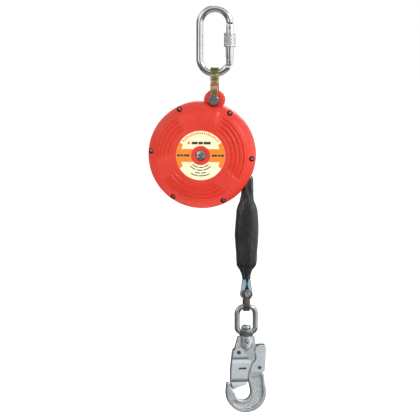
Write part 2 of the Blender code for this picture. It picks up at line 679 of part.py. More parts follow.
def thimble(frame):
    rim = teardrop(9.4, 6.0, -415.5)
    groove = teardrop(9.4, 6.0, -415.5, 2.4)
    hole = teardrop(4.4, 0.4, -424.6)
    order = [(rim, -5.5), (rim, -4.3), (groove, -3.3), (groove, 3.3), (rim, 4.3), (rim, 5.5)]
    order += [(hole, 5.5), (hole, -5.5)]
    piece("thimble", loft([lay(outline, y, "Y") for outline, y in order], closed=True), "blue_zinc", frame)


def lower_shackle(frame):
    thick, inner = 2.7, 6.0
    middle_r = inner + thick / 2
    bend = arc((0.0, -457.3), middle_r, 180, 360, 10)
    path = [(0.0, -middle_r, LOWER_BOLT_Z)] + [(0.0, y, z) for y, z in bend]
    path.append((0.0, middle_r, LOWER_BOLT_Z))
    eye = (LOWER_BOLT_Z, 8.0, inner)
    strap("lower_shackle", "dark_steel", frame, path, 9.6, thick, eye, LOWER_BOLT_R + GAP)
    centre = (0.0, LOWER_BOLT_Z)
    face = inner + thick + GAP
    profile = [(3.4, -face - 3.6), (4.6, -face - 2.6), (4.9, -face)]
    profile += [(LOWER_BOLT_R, -face), (LOWER_BOLT_R, face + 5.6)]
    piece("lower_bolt", turned_solid(profile, 20, "Y", centre), "bolt_steel", frame)
    nut = tube(hexagon(6.2, 24, centre), ring(LOWER_BOLT_R + GAP, 24, centre), face, face + 4.6)
    piece("lower_nut", nut, "bolt_steel", frame)


def swivel_ring(frame):
    top_r, low_r = 11.5, 8.0
    path = arc((RING_HALF_W - top_r, RING_TOP_Z - top_r), top_r, 0, 90, 5)
    path += arc((top_r - RING_HALF_W, RING_TOP_Z - top_r), top_r, 90, 180, 5)
    path += arc((low_r - RING_HALF_W, RING_LOW_Z + low_r), low_r, 180, 270, 4)
    path += arc((RING_HALF_W - low_r, RING_LOW_Z + low_r), low_r, 270, 360, 4)
    bar = swept(ring(RING_BAR_R, 12), lay(path, 0.0, "Y"), (0, 1, 0), closed=True)
    made = piece("swivel_ring", bar, "ring_steel", frame)
    boss = [(10.2, -493.8), (11.0, -494.8), (11.0, SWIVEL_Z + 0.8), (10.2, SWIVEL_Z)]
    join(made, turned_solid(boss, 28, "Z"), frame)
    cut(made, turned_solid([(STUD_R + 0.4, -488.0), (STUD_R + 0.4, -509.0)], 20, "Z"), frame)


def swivel_stud(frame):
    head = [(3.0, -486.2), (6.2, -487.0), (7.6, -488.4), (7.75, -489.8), (5.6, -489.8), (5.6, -493.4)]
    shank = [(STUD_R, -493.4), (STUD_R, -523.6)]
    made = piece("swivel_stud", turned_solid(head + shank, 24, "Z"), "bolt_steel", frame)
    middle = (0.0, CROSS_PIN_Z)
    cut(made, extruded(ring(CROSS_PIN_R + GAP, 16, middle), -9, 9), frame)
    piece("stud_cross_pin", extruded(ring(CROSS_PIN_R, 16, middle), -10.7, 10.7), "bolt_steel", frame)


def hook_outline():
    """The hook's forging, seen from the front: shoulders, shank, bow, nose, opening and gate ear."""
    right = [(13.2, -505.0), (14.6, -522.0), (16.5, -530.0)]
    right += [(20.5, -545.0), (24.5, -557.0), (28.2, -566.0)]
    bow = arc(BOW[:2], BOW[2], 21, -180, 20)
    nose = [(-30.9, -579.5), (-29.6, -577.6), (-26.6, -577.6)]
    nose += [(-25.3, -579.5), (-24.9, -586.5), (-21.0, -590.5)]
    opening = arc(EYE[:2], EYE[2], 180, 375, 12)
    inner = [(5.2, -582.0), (2.8, -575.0), (2.4, -560.0), (1.0, -552.0), (-4.0, -543.0)]
    ear = arc(HOOK_PIN, 5.5, -60, -180, 5)
    return right + bow + nose + opening + inner + ear + [(-18.0, -523.0), (-13.2, -505.0)]


def web_outline():
    """The recess between the rims of the shank and the bow."""
    outer = [(24.0, -566.5), (26.4, -574.0)] + arc(BOW[:2], 27.6, 18, -145, 14)
    inner = arc(EYE[:2], 16.4, -142, 8, 12) + [(9.4, -583.0), (7.0, -576.0), (6.6, -568.5), (14.0, -569.5)]
    return outer + inner


def hook_body(frame):
    made = piece("hook_body", extruded(hook_outline(), -HOOK_HALF, HOOK_HALF), "zinc_forging", frame)
    barrel = [(9.7, -504.4), (BARREL_R, -505.2), (BARREL_R, -518.0), (6.3, -528.5)]
    join(made, turned_solid(barrel, 28, "Z"), frame)
    cut(made, turned_solid([(STUD_R + 0.4, -500.0), (STUD_R + 0.4, -524.2)], 20, "Z"), frame)
    cut(made, extruded(ring(CROSS_PIN_R + GAP, 16, (0.0, CROSS_PIN_Z)), -15, 15), frame)
    for side in (-1, 1):
        low, high = sorted((side * WEB_HALF, side * (HOOK_HALF + 4)))
        cut(made, extruded(web_outline(), low, high), frame)
    cut(made, extruded(ring(HOOK_PIN_R + GAP, 16, HOOK_PIN), -15, 15), frame)
    cut(made, extruded(ring(LEVER_PIN_R + GAP, 16, LEVER_PIN), -15, 15), frame)
    cut(made, extruded(ring(5.7, 20, HOOK_PIN), -3.2, 3.2), frame)
    cut(made, extruded(ring(5.2, 20, LEVER_PIN), -3.2, 3.2), frame)


def hook_gate(frame):
    """A folded channel, closed at its left edge, that shuts against the inside of the nose."""
    left = [(-22.8, -587.2), (-24.4, -577.0), (-24.4, -559.0), (-22.6, -540.0), (-21.6, -528.2)]
    top = [(-18.9, -525.2)] + arc(HOOK_PIN, 6.4, 110, 40, 4)
    rest = [(8.2, -545.5), (6.0, -552.0), (2.2, -561.0), (1.4, -577.0), (-0.6, -581.4), (-8.0, -582.7)]
    rest += [(-16.0, -585.4), (-20.0, -588.2)]
    made = piece("hook_gate", extruded(left + top + rest, -GATE_HALF, GATE_HALF), "zinc_forging", frame)
    hollow = [(x + SHEET_T, z) for x, z in left]
    hollow = [(hollow[0][0], -599.0)] + hollow[:-1] + [(-20.1, -529.0), (-30.0, -529.0), (-30.0, -515.0)]
    hollow += [(20.0, -515.0), (20.0, -599.0)]
    cut(made, extruded(hollow, SHEET_T - GATE_HALF, GATE_HALF - SHEET_T), frame)
    cut(made, extruded(ring(HOOK_PIN_R + GAP, 16, HOOK_PIN), -15, 15), frame)
    coil = helix(
        (HOOK_PIN[0], -2.4, HOOK_PIN[1]), (0, 1, 0), (1, 0, 0.4), 4.4, 0.5, 3.4, 4.4, per_turn=8, sides=4,
        tail=[(-17.9, 2.2, -535.0), (-20.9, 2.2, -545.0)],
    )
    piece("hook_gate_spring", coil, "spring_steel", frame)


def hook_gate_pin(frame):
    pin = ring(HOOK_PIN_R, 16, HOOK_PIN)
    piece("hook_gate_pin", extruded(pin, -9.2, 9.2), "bolt_steel", frame)
    lever_pin = ring(LEVER_PIN_R, 16, LEVER_PIN)
    piece("lock_lever_pin", extruded(lever_pin, -12.0, 12.0), "bolt_steel", frame)


def lock_lever(frame):
    """A folded channel, closed at its right edge, that blocks the gate until it is pressed in."""
    right = [(29.8, -519.0), (31.0, -522.0), (29.3, -545.0), (28.4, -558.8), (27.0, -560.4)]
    foot = [(6.2, -561.4), (5.2, -560.0), (6.4, -553.0), (9.2, -546.6)]
    bend = [(12.4, -544.6), (14.9, -540.4), (14.8, -535.0), (13.1, -529.5)]
    bend += [(13.4, -525.0), (15.2, -521.2), (19.0, -519.4)]
    made = piece("lock_lever", extruded(right + foot + bend, -LEVER_HALF, LEVER_HALF), "zinc_forging", frame)
    hollow = [(29.3, -510.0), (29.3, -522.0), (27.6, -545.0), (26.7, -558.8), (26.7, -575.0), (-5.0, -575.0)]
    hollow += [(-5.0, -510.0)]
    cut(made, extruded(hollow, SHEET_T - LEVER_HALF, LEVER_HALF - SHEET_T), frame)
    cut(made, extruded(ring(LEVER_PIN_R + GAP, 16, LEVER_PIN), -15, 15), frame)
    coil = helix(
        (LEVER_PIN[0], -2.4, LEVER_PIN[1]), (0, 1, 0), (-1, 0, 0.3), 3.8, 0.45, 3.4, 4.4, per_turn=8, sides=4,
        tail=[(24.6, 2.2, -549.0), (26.2, 2.2, -540.0)],
    )
    piece("lock_lever_spring", coil, "spring_steel", frame)


def main():
    clear_scene()
    anchor = Frame("anchor_axis", (0, 0, 0))
    gate_axis = Frame("carabiner_gate_axis", (GATE_X, 0, GATE_HINGE_Z), anchor)
    carabiner(anchor)
    carabiner_gate(gate_axis)
    lock_sleeve(gate_axis)

    strap_axis = Frame("shackle_axis", (0, 0, STRAP_AXIS_Z), anchor)
    top_shackle(strap_axis)

    lug_axis = Frame("lug_axis", (0, 0, LUG_Z), strap_axis)
    cover("front_cover", -1, lug_axis)
    cover("rear_cover", 1, lug_axis)
    cover_screws(lug_axis)
    front_label(lug_axis)
    shaft_and_frame(lug_axis)
    power_spring(lug_axis)
    brake(lug_axis)
    line_guide(lug_axis)

    drum_axis = Frame("drum_axis", (CASE_X, 0, CASE_Z), lug_axis)
    drum(drum_axis)
    for number, side in ((1, 1), (2, -1)):
        pivot = (CASE_X + side * PAWL_PIVOT_R, 0, CASE_Z)
        pawl(number, side, drum_axis, Frame(f"pawl_axis_{number}", pivot, drum_axis))

    line_axis = Frame("line_axis", (LINE_X, 0, CASE_Z), lug_axis)
    line_end(line_axis)
    absorber(line_axis)
    bolt_datum = (0, 0, LOWER_BOLT_Z)
    tail_axis = Frame("tail_axis", (LINE_X, 0, LOWER_BOLT_Z), line_axis, bolt_datum, TAIL_YAW_DEG)
    thimble(tail_axis)
    lower_axis = Frame("lower_bolt_axis", bolt_datum, tail_axis)
    lower_shackle(lower_axis)
    ring_axis = Frame("ring_axis", (0, 0, RING_TOP_Z), lower_axis)
    swivel_ring(ring_axis)
    hook_axis = Frame("hook_axis", (0, 0, SWIVEL_Z), ring_axis)
    swivel_stud(hook_axis)
    hook_body(hook_axis)
    hook_gate_pin(hook_axis)
    hook_gate(Frame("hook_gate_axis", (HOOK_PIN[0], 0, HOOK_PIN[1]), hook_axis))
    lock_lever(Frame("lock_lever_axis", (LEVER_PIN[0], 0, LEVER_PIN[1]), hook_axis))


main()
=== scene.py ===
"""Looks of the self retracting lifeline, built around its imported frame.

Lengths are in millimetres until a mesh is made. +Z is up, the label faces -Y, and the origin is the inside
of the carabiner's top. The pieces under the absorber are drawn in the tail's own axes, which are turned
about the line; `tail_point` puts them in place.
"""

import math

import bmesh
import bpy
from mathutils import Matrix, Vector, noise


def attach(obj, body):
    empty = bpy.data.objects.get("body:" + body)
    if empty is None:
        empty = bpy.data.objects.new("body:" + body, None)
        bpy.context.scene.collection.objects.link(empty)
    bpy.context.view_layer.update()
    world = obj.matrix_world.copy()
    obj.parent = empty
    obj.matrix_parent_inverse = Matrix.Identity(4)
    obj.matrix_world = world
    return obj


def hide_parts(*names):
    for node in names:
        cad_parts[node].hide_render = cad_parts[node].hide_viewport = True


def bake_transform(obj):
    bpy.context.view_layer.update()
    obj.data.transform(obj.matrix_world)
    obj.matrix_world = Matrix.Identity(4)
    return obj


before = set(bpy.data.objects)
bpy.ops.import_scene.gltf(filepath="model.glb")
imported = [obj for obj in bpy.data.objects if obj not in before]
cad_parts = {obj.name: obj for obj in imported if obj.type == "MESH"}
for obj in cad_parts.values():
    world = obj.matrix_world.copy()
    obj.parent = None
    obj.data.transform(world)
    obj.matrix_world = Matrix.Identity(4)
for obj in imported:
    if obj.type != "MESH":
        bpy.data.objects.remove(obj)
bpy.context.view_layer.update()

MM = 0.001
GAP = 0.3
SHARP = math.inf

# carabiner
BAR_R = 5.5
OVAL_HALF_W = 23.25
OVAL_TOP_Z, OVAL_LOW_Z = -17.75, -71.25
GATE_R = 6.25
GATE_TOP_Z = -18.6
GATE_HINGE = (OVAL_HALF_W, -76.0)
HINGE_HOLE_R = 1.9
LATCH_PIN = (OVAL_HALF_W, -25.0)
LATCH_HOLE_R = 2.1
TONGUE_HALF = 2.5
FORK_HALF = 2.9
LOCK_Z = (-53.5, -32.0)

# strap and lug
STRAP_T, STRAP_HALF_W = 2.8, 6.0
STRAP_AXIS_Z = -94.3
STRAP_BEND_R = 8.1
STRAP_LEG_Y = 13.5
LUG_Z = -135.5
LUG_HALF = 11.5
LUG_R = 16.0
LUG_RELIEF_R = 11.5
LUG_EYE_R = 4.4
LUG_HEX_R = 8.1

# casing
CASE = (-19.0, -220.5)
CASE_R = 83.6
CASE_INSIDE_R = 74.3
FACE_DEPTH = 32.0
SPLIT_DEPTH = 0.15
SCREWS = 6
SCREW_FIRST_DEG = 56.0
SCREW_CIRCLE_R = 78.4
SCREW_HOLE_R = 2.1
SCREW_WELL_R, SCREW_WELL_DEPTH = 4.3, 4.8
LABEL_DEPTH = 31.5
LABEL_R, LABEL_HUB_R = 38.1, 14.9
PRINT_Y = -LABEL_DEPTH - 0.405
LINE_X = 51.0
LINE_LOW_Z = -269.7

# tail
TAIL_YAW = math.radians(12.0)
THIMBLE_R, THIMBLE_NECK_HALF, THIMBLE_TOP_Z = 9.4, 6.0, -415.5
BOLT_Z = -438.4
LOWER_STRAP_T, LOWER_STRAP_INNER = 2.7, 6.0
LOWER_HEX_R = 6.2
RING_TOP_Z, RING_LOW_Z = -458.4, -499.0
RING_BAR_R = 4.3
STUD_BORE_R = 4.7
STUD_PIN = (0.0, -513.0)
STUD_PIN_HOLE_R = 3.3
BARREL_R = 10.5
FORGING_HALF, SHOULDER_HALF, WEB_HALF = 6.5, 5.1, 3.6
HOOK_PIN, HOOK_PIN_HOLE_R = (-12.9, -529.6), 3.3
LEVER_PIN, LEVER_PIN_HOLE_R = (19.9, -553.8), 2.9
SHEET_T = 1.6
HOOK_GATE_HALF, LEVER_HALF = 8.6, 11.5
BOW = (0.0, -593.5)
EYE = (-5.1, -594.0)
THROUGH = (-15, 15)


# ---- materials ----


class Nodes:
    """A node tree, with short ways to add nodes to it and link them."""

    def __init__(self, tree):
        self.tree = tree

    def node(self, kind, **settings):
        made = self.tree.nodes.new("ShaderNode" + kind)
        for key, value in settings.items():
            if key in made.inputs:
                made.inputs[key].default_value = value
            else:
                setattr(made, key, value)
        return made

    def link(self, source, target):
        self.tree.links.new(source, target)

    def split(self, vector):
        made = self.node("SeparateXYZ")
        self.link(vector, made.inputs["Vector"])
        return made.outputs

    def spread(self, value, low, high, to_low=0.0, to_high=1.0, **settings):
        made = self.node("MapRange", **settings)
        for key, number in (("From Min", low), ("From Max", high), ("To Min", to_low), ("To Max", to_high)):
            made.inputs[key].default_value = number
        self.link(value, made.inputs["Value"])
        return made.outputs["Result"]

    def maths(self, operation, *values):
        made = self.node("Math")
        made.operation = operation
        for slot, value in zip(made.inputs, values):
            if isinstance(value, (int, float)):
                slot.default_value = value
            else:
                self.link(value, slot)
        return made.outputs["Value"]

    def ramp(self, value, *stops):
        made = self.node("ValToRGB")
        band = made.color_ramp
        while len(band.elements) < len(stops):
            band.elements.new(0.5)
        for element, (at, colour) in zip(band.elements, stops):
            element.position = at
            element.color = (*colour, 1.0)
        self.link(value, made.inputs["Fac"])
        return made.outputs["Color"]


class Look(Nodes):
    """A Principled material with its nodes, in the coordinates of the piece."""

    def __init__(self, name, roughness, metallic=0.0, coat=0.0):
        self.made = bpy.data.materials.new(name)
        self.made.use_nodes = True
        super().__init__(self.made.node_tree)
        self.shader = self.tree.nodes["Principled BSDF"]
        self.shader.inputs["Roughness"].default_value = roughness
        self.shader.inputs["Metallic"].default_value = metallic
        self.shader.inputs["Coat Weight"].default_value = coat
        self.shader.inputs["Coat Roughness"].default_value = 0.15
        self.where = self.node("TexCoord")
        self.height = None

    def mapped(self, source, **settings):
        made = self.node("Mapping", **settings)
        self.link(self.where.outputs[source], made.inputs["Vector"])
        return made.outputs["Vector"]

    def noise(self, scale, detail, rough, stretch=(1, 1, 1)):
        made = self.node("TexNoise", Scale=scale, Detail=detail, Roughness=rough)
        self.link(self.mapped("Object", Scale=stretch), made.inputs["Vector"])
        return made.outputs["Fac"]

    def paint(self, colour):
        self.link(colour, self.shader.inputs["Base Color"])

    def tones(self, value, dark, light, low=0.3):
        """Two tones: dark where the value is under low, and light where it is as near to 1."""
        return self.ramp(value, (low, dark), (1.0 - low, light))

    def gloss(self, scale, detail, rough, low, high):
        """Roughness that drifts between two values."""
        drift = self.noise(scale, detail, rough)
        self.link(self.spread(drift, 0.3, 0.7, low, high), self.shader.inputs["Roughness"])

    def grain(self, scale, detail, rough, strength, depth, stretch=(1, 1, 1)):
        self.bump(self.noise(scale, detail, rough, stretch), strength, depth)

    def bump(self, height, strength, depth):
        made = self.node("Bump", Strength=strength, Distance=depth * MM)
        self.link(height, made.inputs["Height"])
        if self.height:
            self.link(self.height, made.inputs["Normal"])
        self.height = made.outputs["Normal"]
        self.link(self.height, self.shader.inputs["Normal"])


def metal(name, dark, light, rough_low, rough_high, patch=60.0, grain=900.0, bump=0.06):
    """Bare or plated metal: two tones in soft patches, uneven gloss and a fine grain."""
    made = Look(name, rough_low, metallic=1.0)
    made.paint(made.tones(made.noise(patch, 6.0, 0.6), dark, light))
    made.gloss(patch * 2.6, 5.0, 0.65, rough_low, rough_high)
    made.grain(grain, 3.0, 0.6, bump, 0.3)
    return made.made


def plastic(name, dark, light, rough_low, rough_high, patch=25.0):
    """Moulded plastic: slight colour drift, and a fine skin."""
    made = Look(name, rough_low)
    made.paint(made.tones(made.noise(patch, 5.0, 0.6), dark, light, 0.25))
    made.gloss(patch * 5, 6.0, 0.7, rough_low, rough_high)
    made.grain(700.0, 2.0, 0.5, 0.08, 0.25)
    return made.made


def strap_look():
    """Yellow-passivated zinc: olive over the bend, gold down the leg, brown near the bolt, with painted
    highlights and a painted reflection in bands across it.
    """
    made = Look("yellow_passivated_painted_light", 0.28, metallic=1.0)
    drift = made.noise(55.0, 5.0, 0.6, (1.0, 1.0, 1.6))
    level = made.spread(made.split(made.where.outputs["Object"])["Z"], -0.144, -0.084)
    mixed = made.maths("ADD", level, made.maths("MULTIPLY", made.maths("SUBTRACT", drift, 0.5), 0.16))
    # Painted light: the three pale cream and gold bands are painted highlights on the bends, and the
    # red-brown band is a painted reflection of the red lug; the olive, gold and brown between them are the
    # plating's tint.
    made.paint(made.ramp(
        mixed, (0.04, (0.34, 0.22, 0.11)), (0.28, (0.48, 0.29, 0.16)), (0.44, (0.52, 0.32, 0.17)),
        (0.47, (0.82, 0.68, 0.38)), (0.50, (0.46, 0.20, 0.11)), (0.56, (0.50, 0.26, 0.14)),
        (0.59, (0.86, 0.76, 0.46)), (0.64, (0.42, 0.38, 0.17)), (0.75, (0.44, 0.40, 0.17)),
        (0.79, (0.90, 0.84, 0.56)), (0.84, (0.22, 0.23, 0.07)), (1.0, (0.10, 0.11, 0.03)),
    ))
    made.gloss(160.0, 5.0, 0.7, 0.22, 0.42)
    made.grain(900.0, 3.0, 0.6, 0.08, 0.3)
    return made.made


def forging_look():
    """Zinc-plated forging: smooth on its rims, grainy on its floor, and with painted shade that darkens the
    walls of the web.
    """
    made = Look("zinc_forging", 0.32, metallic=1.0)
    tone = made.tones(made.noise(70.0, 6.0, 0.65), (0.56, 0.60, 0.62), (0.80, 0.84, 0.86))
    made.gloss(260.0, 6.0, 0.7, 0.24, 0.42)
    back = (0, 0, -TAIL_YAW)
    place = made.mapped("Object", Rotation=back, Location=(0, math.sin(TAIL_YAW) * LINE_X * MM, 0))
    facing = made.mapped("Normal", Rotation=back)
    deep = made.spread(made.maths("ABSOLUTE", made.split(place)["Y"]), 0.0039, 0.0050, 1.0, 0.0)
    flat = made.spread(made.maths("ABSOLUTE", made.split(facing)["Y"]), 0.75, 0.92)
    web = made.maths("MULTIPLY", deep, flat)
    # Painted shade: the steep walls of the web are darkened, by up to three quarters, as if in the shade of
    # its rims.
    painted_wall_shade = made.maths("MULTIPLY", deep, made.maths("SUBTRACT", 1.0, flat))
    shade = made.node("VectorMath", operation="SCALE")
    made.link(tone, shade.inputs["Vector"])
    made.link(made.maths("SUBTRACT", 1.0, made.maths("MULTIPLY", painted_wall_shade, 0.75)), shade.inputs["Scale"])
    made.paint(shade.outputs["Vector"])
    made.bump(made.maths("MULTIPLY", made.noise(450.0, 4.0, 0.75), web), 1.0, 1.3)
    made.grain(1100.0, 3.0, 0.6, 0.07, 0.3)
    return made.made


def sleeve_look():
    """Shrink sleeve: black, a little glossy, with fine lengthways creases."""
    made = Look("black_sleeve", 0.3, coat=0.35)
    made.paint(made.tones(made.noise(40.0, 5.0, 0.65), (0.006, 0.007, 0.008), (0.018, 0.020, 0.022)))
    made.gloss(90.0, 6.0, 0.7, 0.2, 0.42)
    made.grain(150.0, 5.0, 0.6, 0.45, 1.4, (1.0, 1.0, 0.3))
    made.grain(900.0, 2.0, 0.5, 0.1, 0.3)
    return made.made


def print_look(name, colour, tint):
    """Printed film, a little uneven."""
    made = Look(name, 0.42)
    made.paint(made.tones(made.noise(400.0, 3.0, 0.6), colour, tint))
    made.gloss(150.0, 4.0, 0.6, 0.36, 0.5)
    made.grain(1500.0, 2.0, 0.5, 0.05, 0.1)
    return made.made


def webbing_look():
    """Woven webbing: bands that stand out and catch the light."""
    made = Look("webbing", 0.9)
    woven = made.node("TexWave", Scale=260.0, Distortion=1.5)
    made.link(made.mapped("Object"), woven.inputs["Vector"])
    made.paint(made.tones(woven.outputs["Fac"], (0.52, 0.46, 0.30), (0.78, 0.72, 0.52), 0.2))
    made.bump(woven.outputs["Fac"], 0.6, 0.4)
    return made.made


CHROME = metal("polished_steel", (0.62, 0.63, 0.65), (0.82, 0.83, 0.84), 0.06, 0.16, patch=45.0, bump=0.03)
KNURLED = metal("knurled_steel", (0.55, 0.56, 0.57), (0.78, 0.79, 0.80), 0.18, 0.34, patch=120.0, bump=0.12)
STRAP = strap_look()
BOLT = metal("bolt_steel", (0.30, 0.28, 0.29), (0.50, 0.46, 0.47), 0.24, 0.42, patch=120.0, bump=0.1)
PINK_BOLT = metal("tinted_bolt", (0.36, 0.30, 0.31), (0.58, 0.50, 0.50), 0.24, 0.4, patch=160.0, bump=0.1)
RED = plastic("red_cover", (0.60, 0.022, 0.007), (0.68, 0.034, 0.012), 0.30, 0.42, patch=14.0)
CREAM = print_look("label_cream", (0.82, 0.76, 0.48), (0.85, 0.80, 0.54))
ORANGE = print_look("label_orange", (0.76, 0.19, 0.006), (0.80, 0.23, 0.012))
INK = print_look("label_ink", (0.035, 0.022, 0.018), (0.06, 0.04, 0.03))
PLATED = metal("plated_steel", (0.50, 0.51, 0.50), (0.74, 0.74, 0.72), 0.2, 0.36, patch=90.0)
CAST = metal("cast_aluminium", (0.50, 0.51, 0.52), (0.66, 0.67, 0.68), 0.38, 0.6, grain=500.0, bump=0.25)
SPRING = metal("spring_steel", (0.14, 0.15, 0.19), (0.30, 0.31, 0.34), 0.22, 0.4)
BRONZE = metal("bronze", (0.48, 0.32, 0.14), (0.66, 0.46, 0.22), 0.3, 0.5, grain=1400.0, bump=0.2)
LINING = plastic("friction_lining", (0.10, 0.075, 0.06), (0.20, 0.15, 0.12), 0.75, 0.95, patch=300.0)
ROPE = metal("wire_rope", (0.34, 0.35, 0.36), (0.58, 0.59, 0.60), 0.28, 0.5, patch=300.0, bump=0.2)
GUIDE = plastic("guide_plastic", (0.03, 0.03, 0.03), (0.06, 0.06, 0.06), 0.4, 0.6)
SLEEVE = sleeve_look()
WEBBING = webbing_look()
BLUE_ZINC = metal("blue_zinc", (0.24, 0.42, 0.54), (0.62, 0.76, 0.80), 0.14, 0.28, patch=110.0)
# A darker copy of the blue zinc, used as painted shade on the thimble's middle.
SHADED_BLUE_ZINC = metal("blue_zinc_painted_shade", (0.012, 0.028, 0.06), (0.05, 0.09, 0.15), 0.2, 0.34, patch=140.0)
# Dark steel of the lower strap; the hook's rivets use it as painted shade of their recesses.
DARK_STEEL_AND_RIVET_SHADE = metal("dark_steel", (0.11, 0.105, 0.105), (0.24, 0.22, 0.22), 0.28, 0.45, patch=90.0, bump=0.12)
RING = metal("ring_steel", (0.32, 0.35, 0.34), (0.52, 0.55, 0.53), 0.2, 0.34, patch=80.0, bump=0.1)
FORGING = forging_look()
SHEET = metal("zinc_sheet", (0.74, 0.80, 0.83), (0.84, 0.90, 0.93), 0.22, 0.3, patch=50.0, bump=0.03)


# ---- shapes ----


def tail_point(point):
    """From the tail's axes, with the line at zero, to the object's."""
    u, v, z = point
    c, s = math.cos(TAIL_YAW), math.sin(TAIL_YAW)
    return LINE_X + u * c - v * s, u * s + v * c, z


def solid(name, shape, look=None, tail=False, smooth_deg=30.0):
    """A mesh from (points, faces) in millimetres."""
    points, faces = shape
    if tail:
        points = [tail_point(p) for p in points]
    mesh = bpy.data.meshes.new(name)
    mesh.from_pydata([Vector(p) * MM for p in points], [], faces)
    shaped = bmesh.new()
    shaped.from_mesh(mesh)
    bmesh.ops.recalc_face_normals(shaped, faces=shaped.faces)
    shaped.to_mesh(mesh)
    shaped.free()
    if look:
        mesh.materials.append(look)
    mesh.shade_smooth()
    mesh.set_sharp_from_angle(angle=math.radians(smooth_deg))
    made = bpy.data.objects.new(name, mesh)
    bpy.context.scene.collection.objects.link(made)
    return made


def bake(piece):
    """Applies the modifiers of a piece to its mesh."""
    bpy.context.view_layer.update()
    graph = bpy.context.evaluated_depsgraph_get()
    made = bpy.data.meshes.new_from_object(piece.evaluated_get(graph))
    piece.modifiers.clear()
    old = piece.data
    piece.data = made
    bpy.data.meshes.remove(old)
    return piece


def resmooth(piece, degrees=30.0):
    piece.data.shade_smooth()
    piece.data.set_sharp_from_angle(angle=math.radians(degrees))


def boolean(piece, operation, *others):
    for other in others:
        step = piece.modifiers.new("shape", "BOOLEAN")
        step.operation = operation
        step.object = other
        bake(piece)
        bpy.data.objects.remove(other, do_unlink=True)
    resmooth(piece)
    return piece


def cut(piece, *others):
    return boolean(piece, "DIFFERENCE", *others)


def join(piece, *others):
    return boolean(piece, "UNION", *others)


def bevelled(piece, width, segments=3, angle=40.0):
    step = piece.modifiers.new("edge", "BEVEL")
    step.width = width * MM
    step.segments = segments
    step.limit_method = "ANGLE"
    step.angle_limit = math.radians(angle)
    step.use_clamp_overlap = True
    bake(piece)
    resmooth(piece)
    return piece


def flattened(piece):
    """Keeps flat faces flat in their shading, beside rounded edges."""
    step = piece.modifiers.new("normals", "WEIGHTED_NORMAL")
    step.weight = 100
    step.keep_sharp = True
    return bake(piece)


def place(piece, body, *nodes, slot=None):
    """A finished piece: what it rides on, and what it stands for. Its slot is not used."""
    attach(piece, body)
    if nodes:
        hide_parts(*nodes)
    return piece


def polar(radius, degrees, centre=(0.0, 0.0)):
    a = math.radians(degrees)
    return centre[0] + radius * math.cos(a), centre[1] + radius * math.sin(a)


def arc(centre, radius, start, end, steps):
    return [polar(radius, start + (end - start) * i / steps, centre) for i in range(steps + 1)]


def ring(radius, count, centre=(0.0, 0.0)):
    return [polar(radius, 360.0 * i / count, centre) for i in range(count)]


def hexagon(corner_r, count, centre=(0.0, 0.0), most=SHARP):
    """A hexagon, with its corners rounded off at the radius most."""
    flat_r = corner_r * math.cos(math.pi / 6)
    found = []
    for i in range(count):
        a = 2 * math.pi * i / count
        off = (a + math.pi / 6) % (math.pi / 3) - math.pi / 6
        found.append(polar(min(flat_r / math.cos(off), most), math.degrees(a), centre))
    return found


def lay(outline, height, axis):
    if axis == "Y":
        return [(x, height, z) for x, z in outline]
    return [(x, y, height) for x, y in outline]


def loft(loops, closed=False):
    n = len(loops[0])
    points = [p for loop in loops for p in loop]
    faces = []
    for i in range(len(loops) if closed else len(loops) - 1):
        low, high = i * n, (i + 1) % len(loops) * n
        for j in range(n):
            k = (j + 1) % n
            faces.append((low + j, low + k, high + k, high + j))
    if not closed:
        faces.append(tuple(range(n - 1, -1, -1)))
        faces.append(tuple(range(len(points) - n, len(points))))
    return points, faces


def extruded(outline, low, high, axis="Y"):
    return loft([lay(outline, low, axis), lay(outline, high, axis)])


def turned(profile, segments, axis="Y", centre=(0.0, 0.0), closed=True):
    return loft([lay(ring(r, segments, centre), h, axis) for r, h in profile], closed)


def both_ends(end):
    """A turned profile from one end to the middle, and the same again to the other end."""
    return end + [(r, -y) for r, y in reversed(end)]


def rectangle(x0, z0, x1, z1):
    return [(x0, z0), (x1, z0), (x1, z1), (x0, z1)]


def box(low, high):
    (x0, y0, z0), (x1, y1, z1) = low, high
    return extruded(rectangle(x0, z0, x1, z1), y0, y1)


def outward(side, low, high):
    """A span of depths, on the front (-1) or the rear (1)."""
    return sorted((side * low, side * high))


def bored(piece, at, radius, span, count=32, tail=False):
    """Cuts a round hole along Y."""
    return cut(piece, solid("hole", extruded(ring(radius, count, at), *span), None, tail))


def swept(sections, path, side, closed=False):
    """One section for each point of the path, as (across, aside) points."""
    path = [Vector(p) for p in path]
    side = Vector(side)
    loops = []
    for i, at in enumerate(path):
        before = path[i - 1] if i or closed else None
        after = path[(i + 1) % len(path)] if i + 1 < len(path) or closed else None
        come = (at - before).normalized() if before is not None else (after - at).normalized()
        go = (after - at).normalized() if after is not None else come
        along = (come + go).normalized()
        across = side.cross(along).normalized()
        aside = along.cross(across)
        loops.append([tuple(at + across * a + aside * b) for a, b in sections[i]])
    return loft(loops, closed)


def rounded_rectangle(width, height, radius, steps=4):
    w, h = width / 2 - radius, height / 2 - radius
    points = []
    for x, y, start in ((w, h, 0), (-w, h, 90), (-w, -h, 180), (w, -h, 270)):
        points += arc((x, y), radius, start, start + 90, steps)
    return points


def resampled(path, step):
    """A polyline again, with points a step apart."""
    found = [tuple(path[0])]
    for a, b in zip(path, path[1:]):
        a, b = Vector(a), Vector(b)
        count = max(1, round((b - a).length / step))
        found += [tuple(a.lerp(b, i / count)) for i in range(1, count + 1)]
    return found


def relaxed(path, rounds, closed=False):
    """A polyline with its corners eased. The ends of an open one stay."""
    path = [Vector(p) for p in path]
    for _ in range(rounds):
        before = path[-1:] + path[:-1]
        after = path[1:] + path[:1]
        eased = [(a + b * 2 + c) / 4 for a, b, c in zip(before, path, after)]
        if not closed:
            eased[0], eased[-1] = path[0], path[-1]
        path = eased
    return [tuple(p) for p in path]


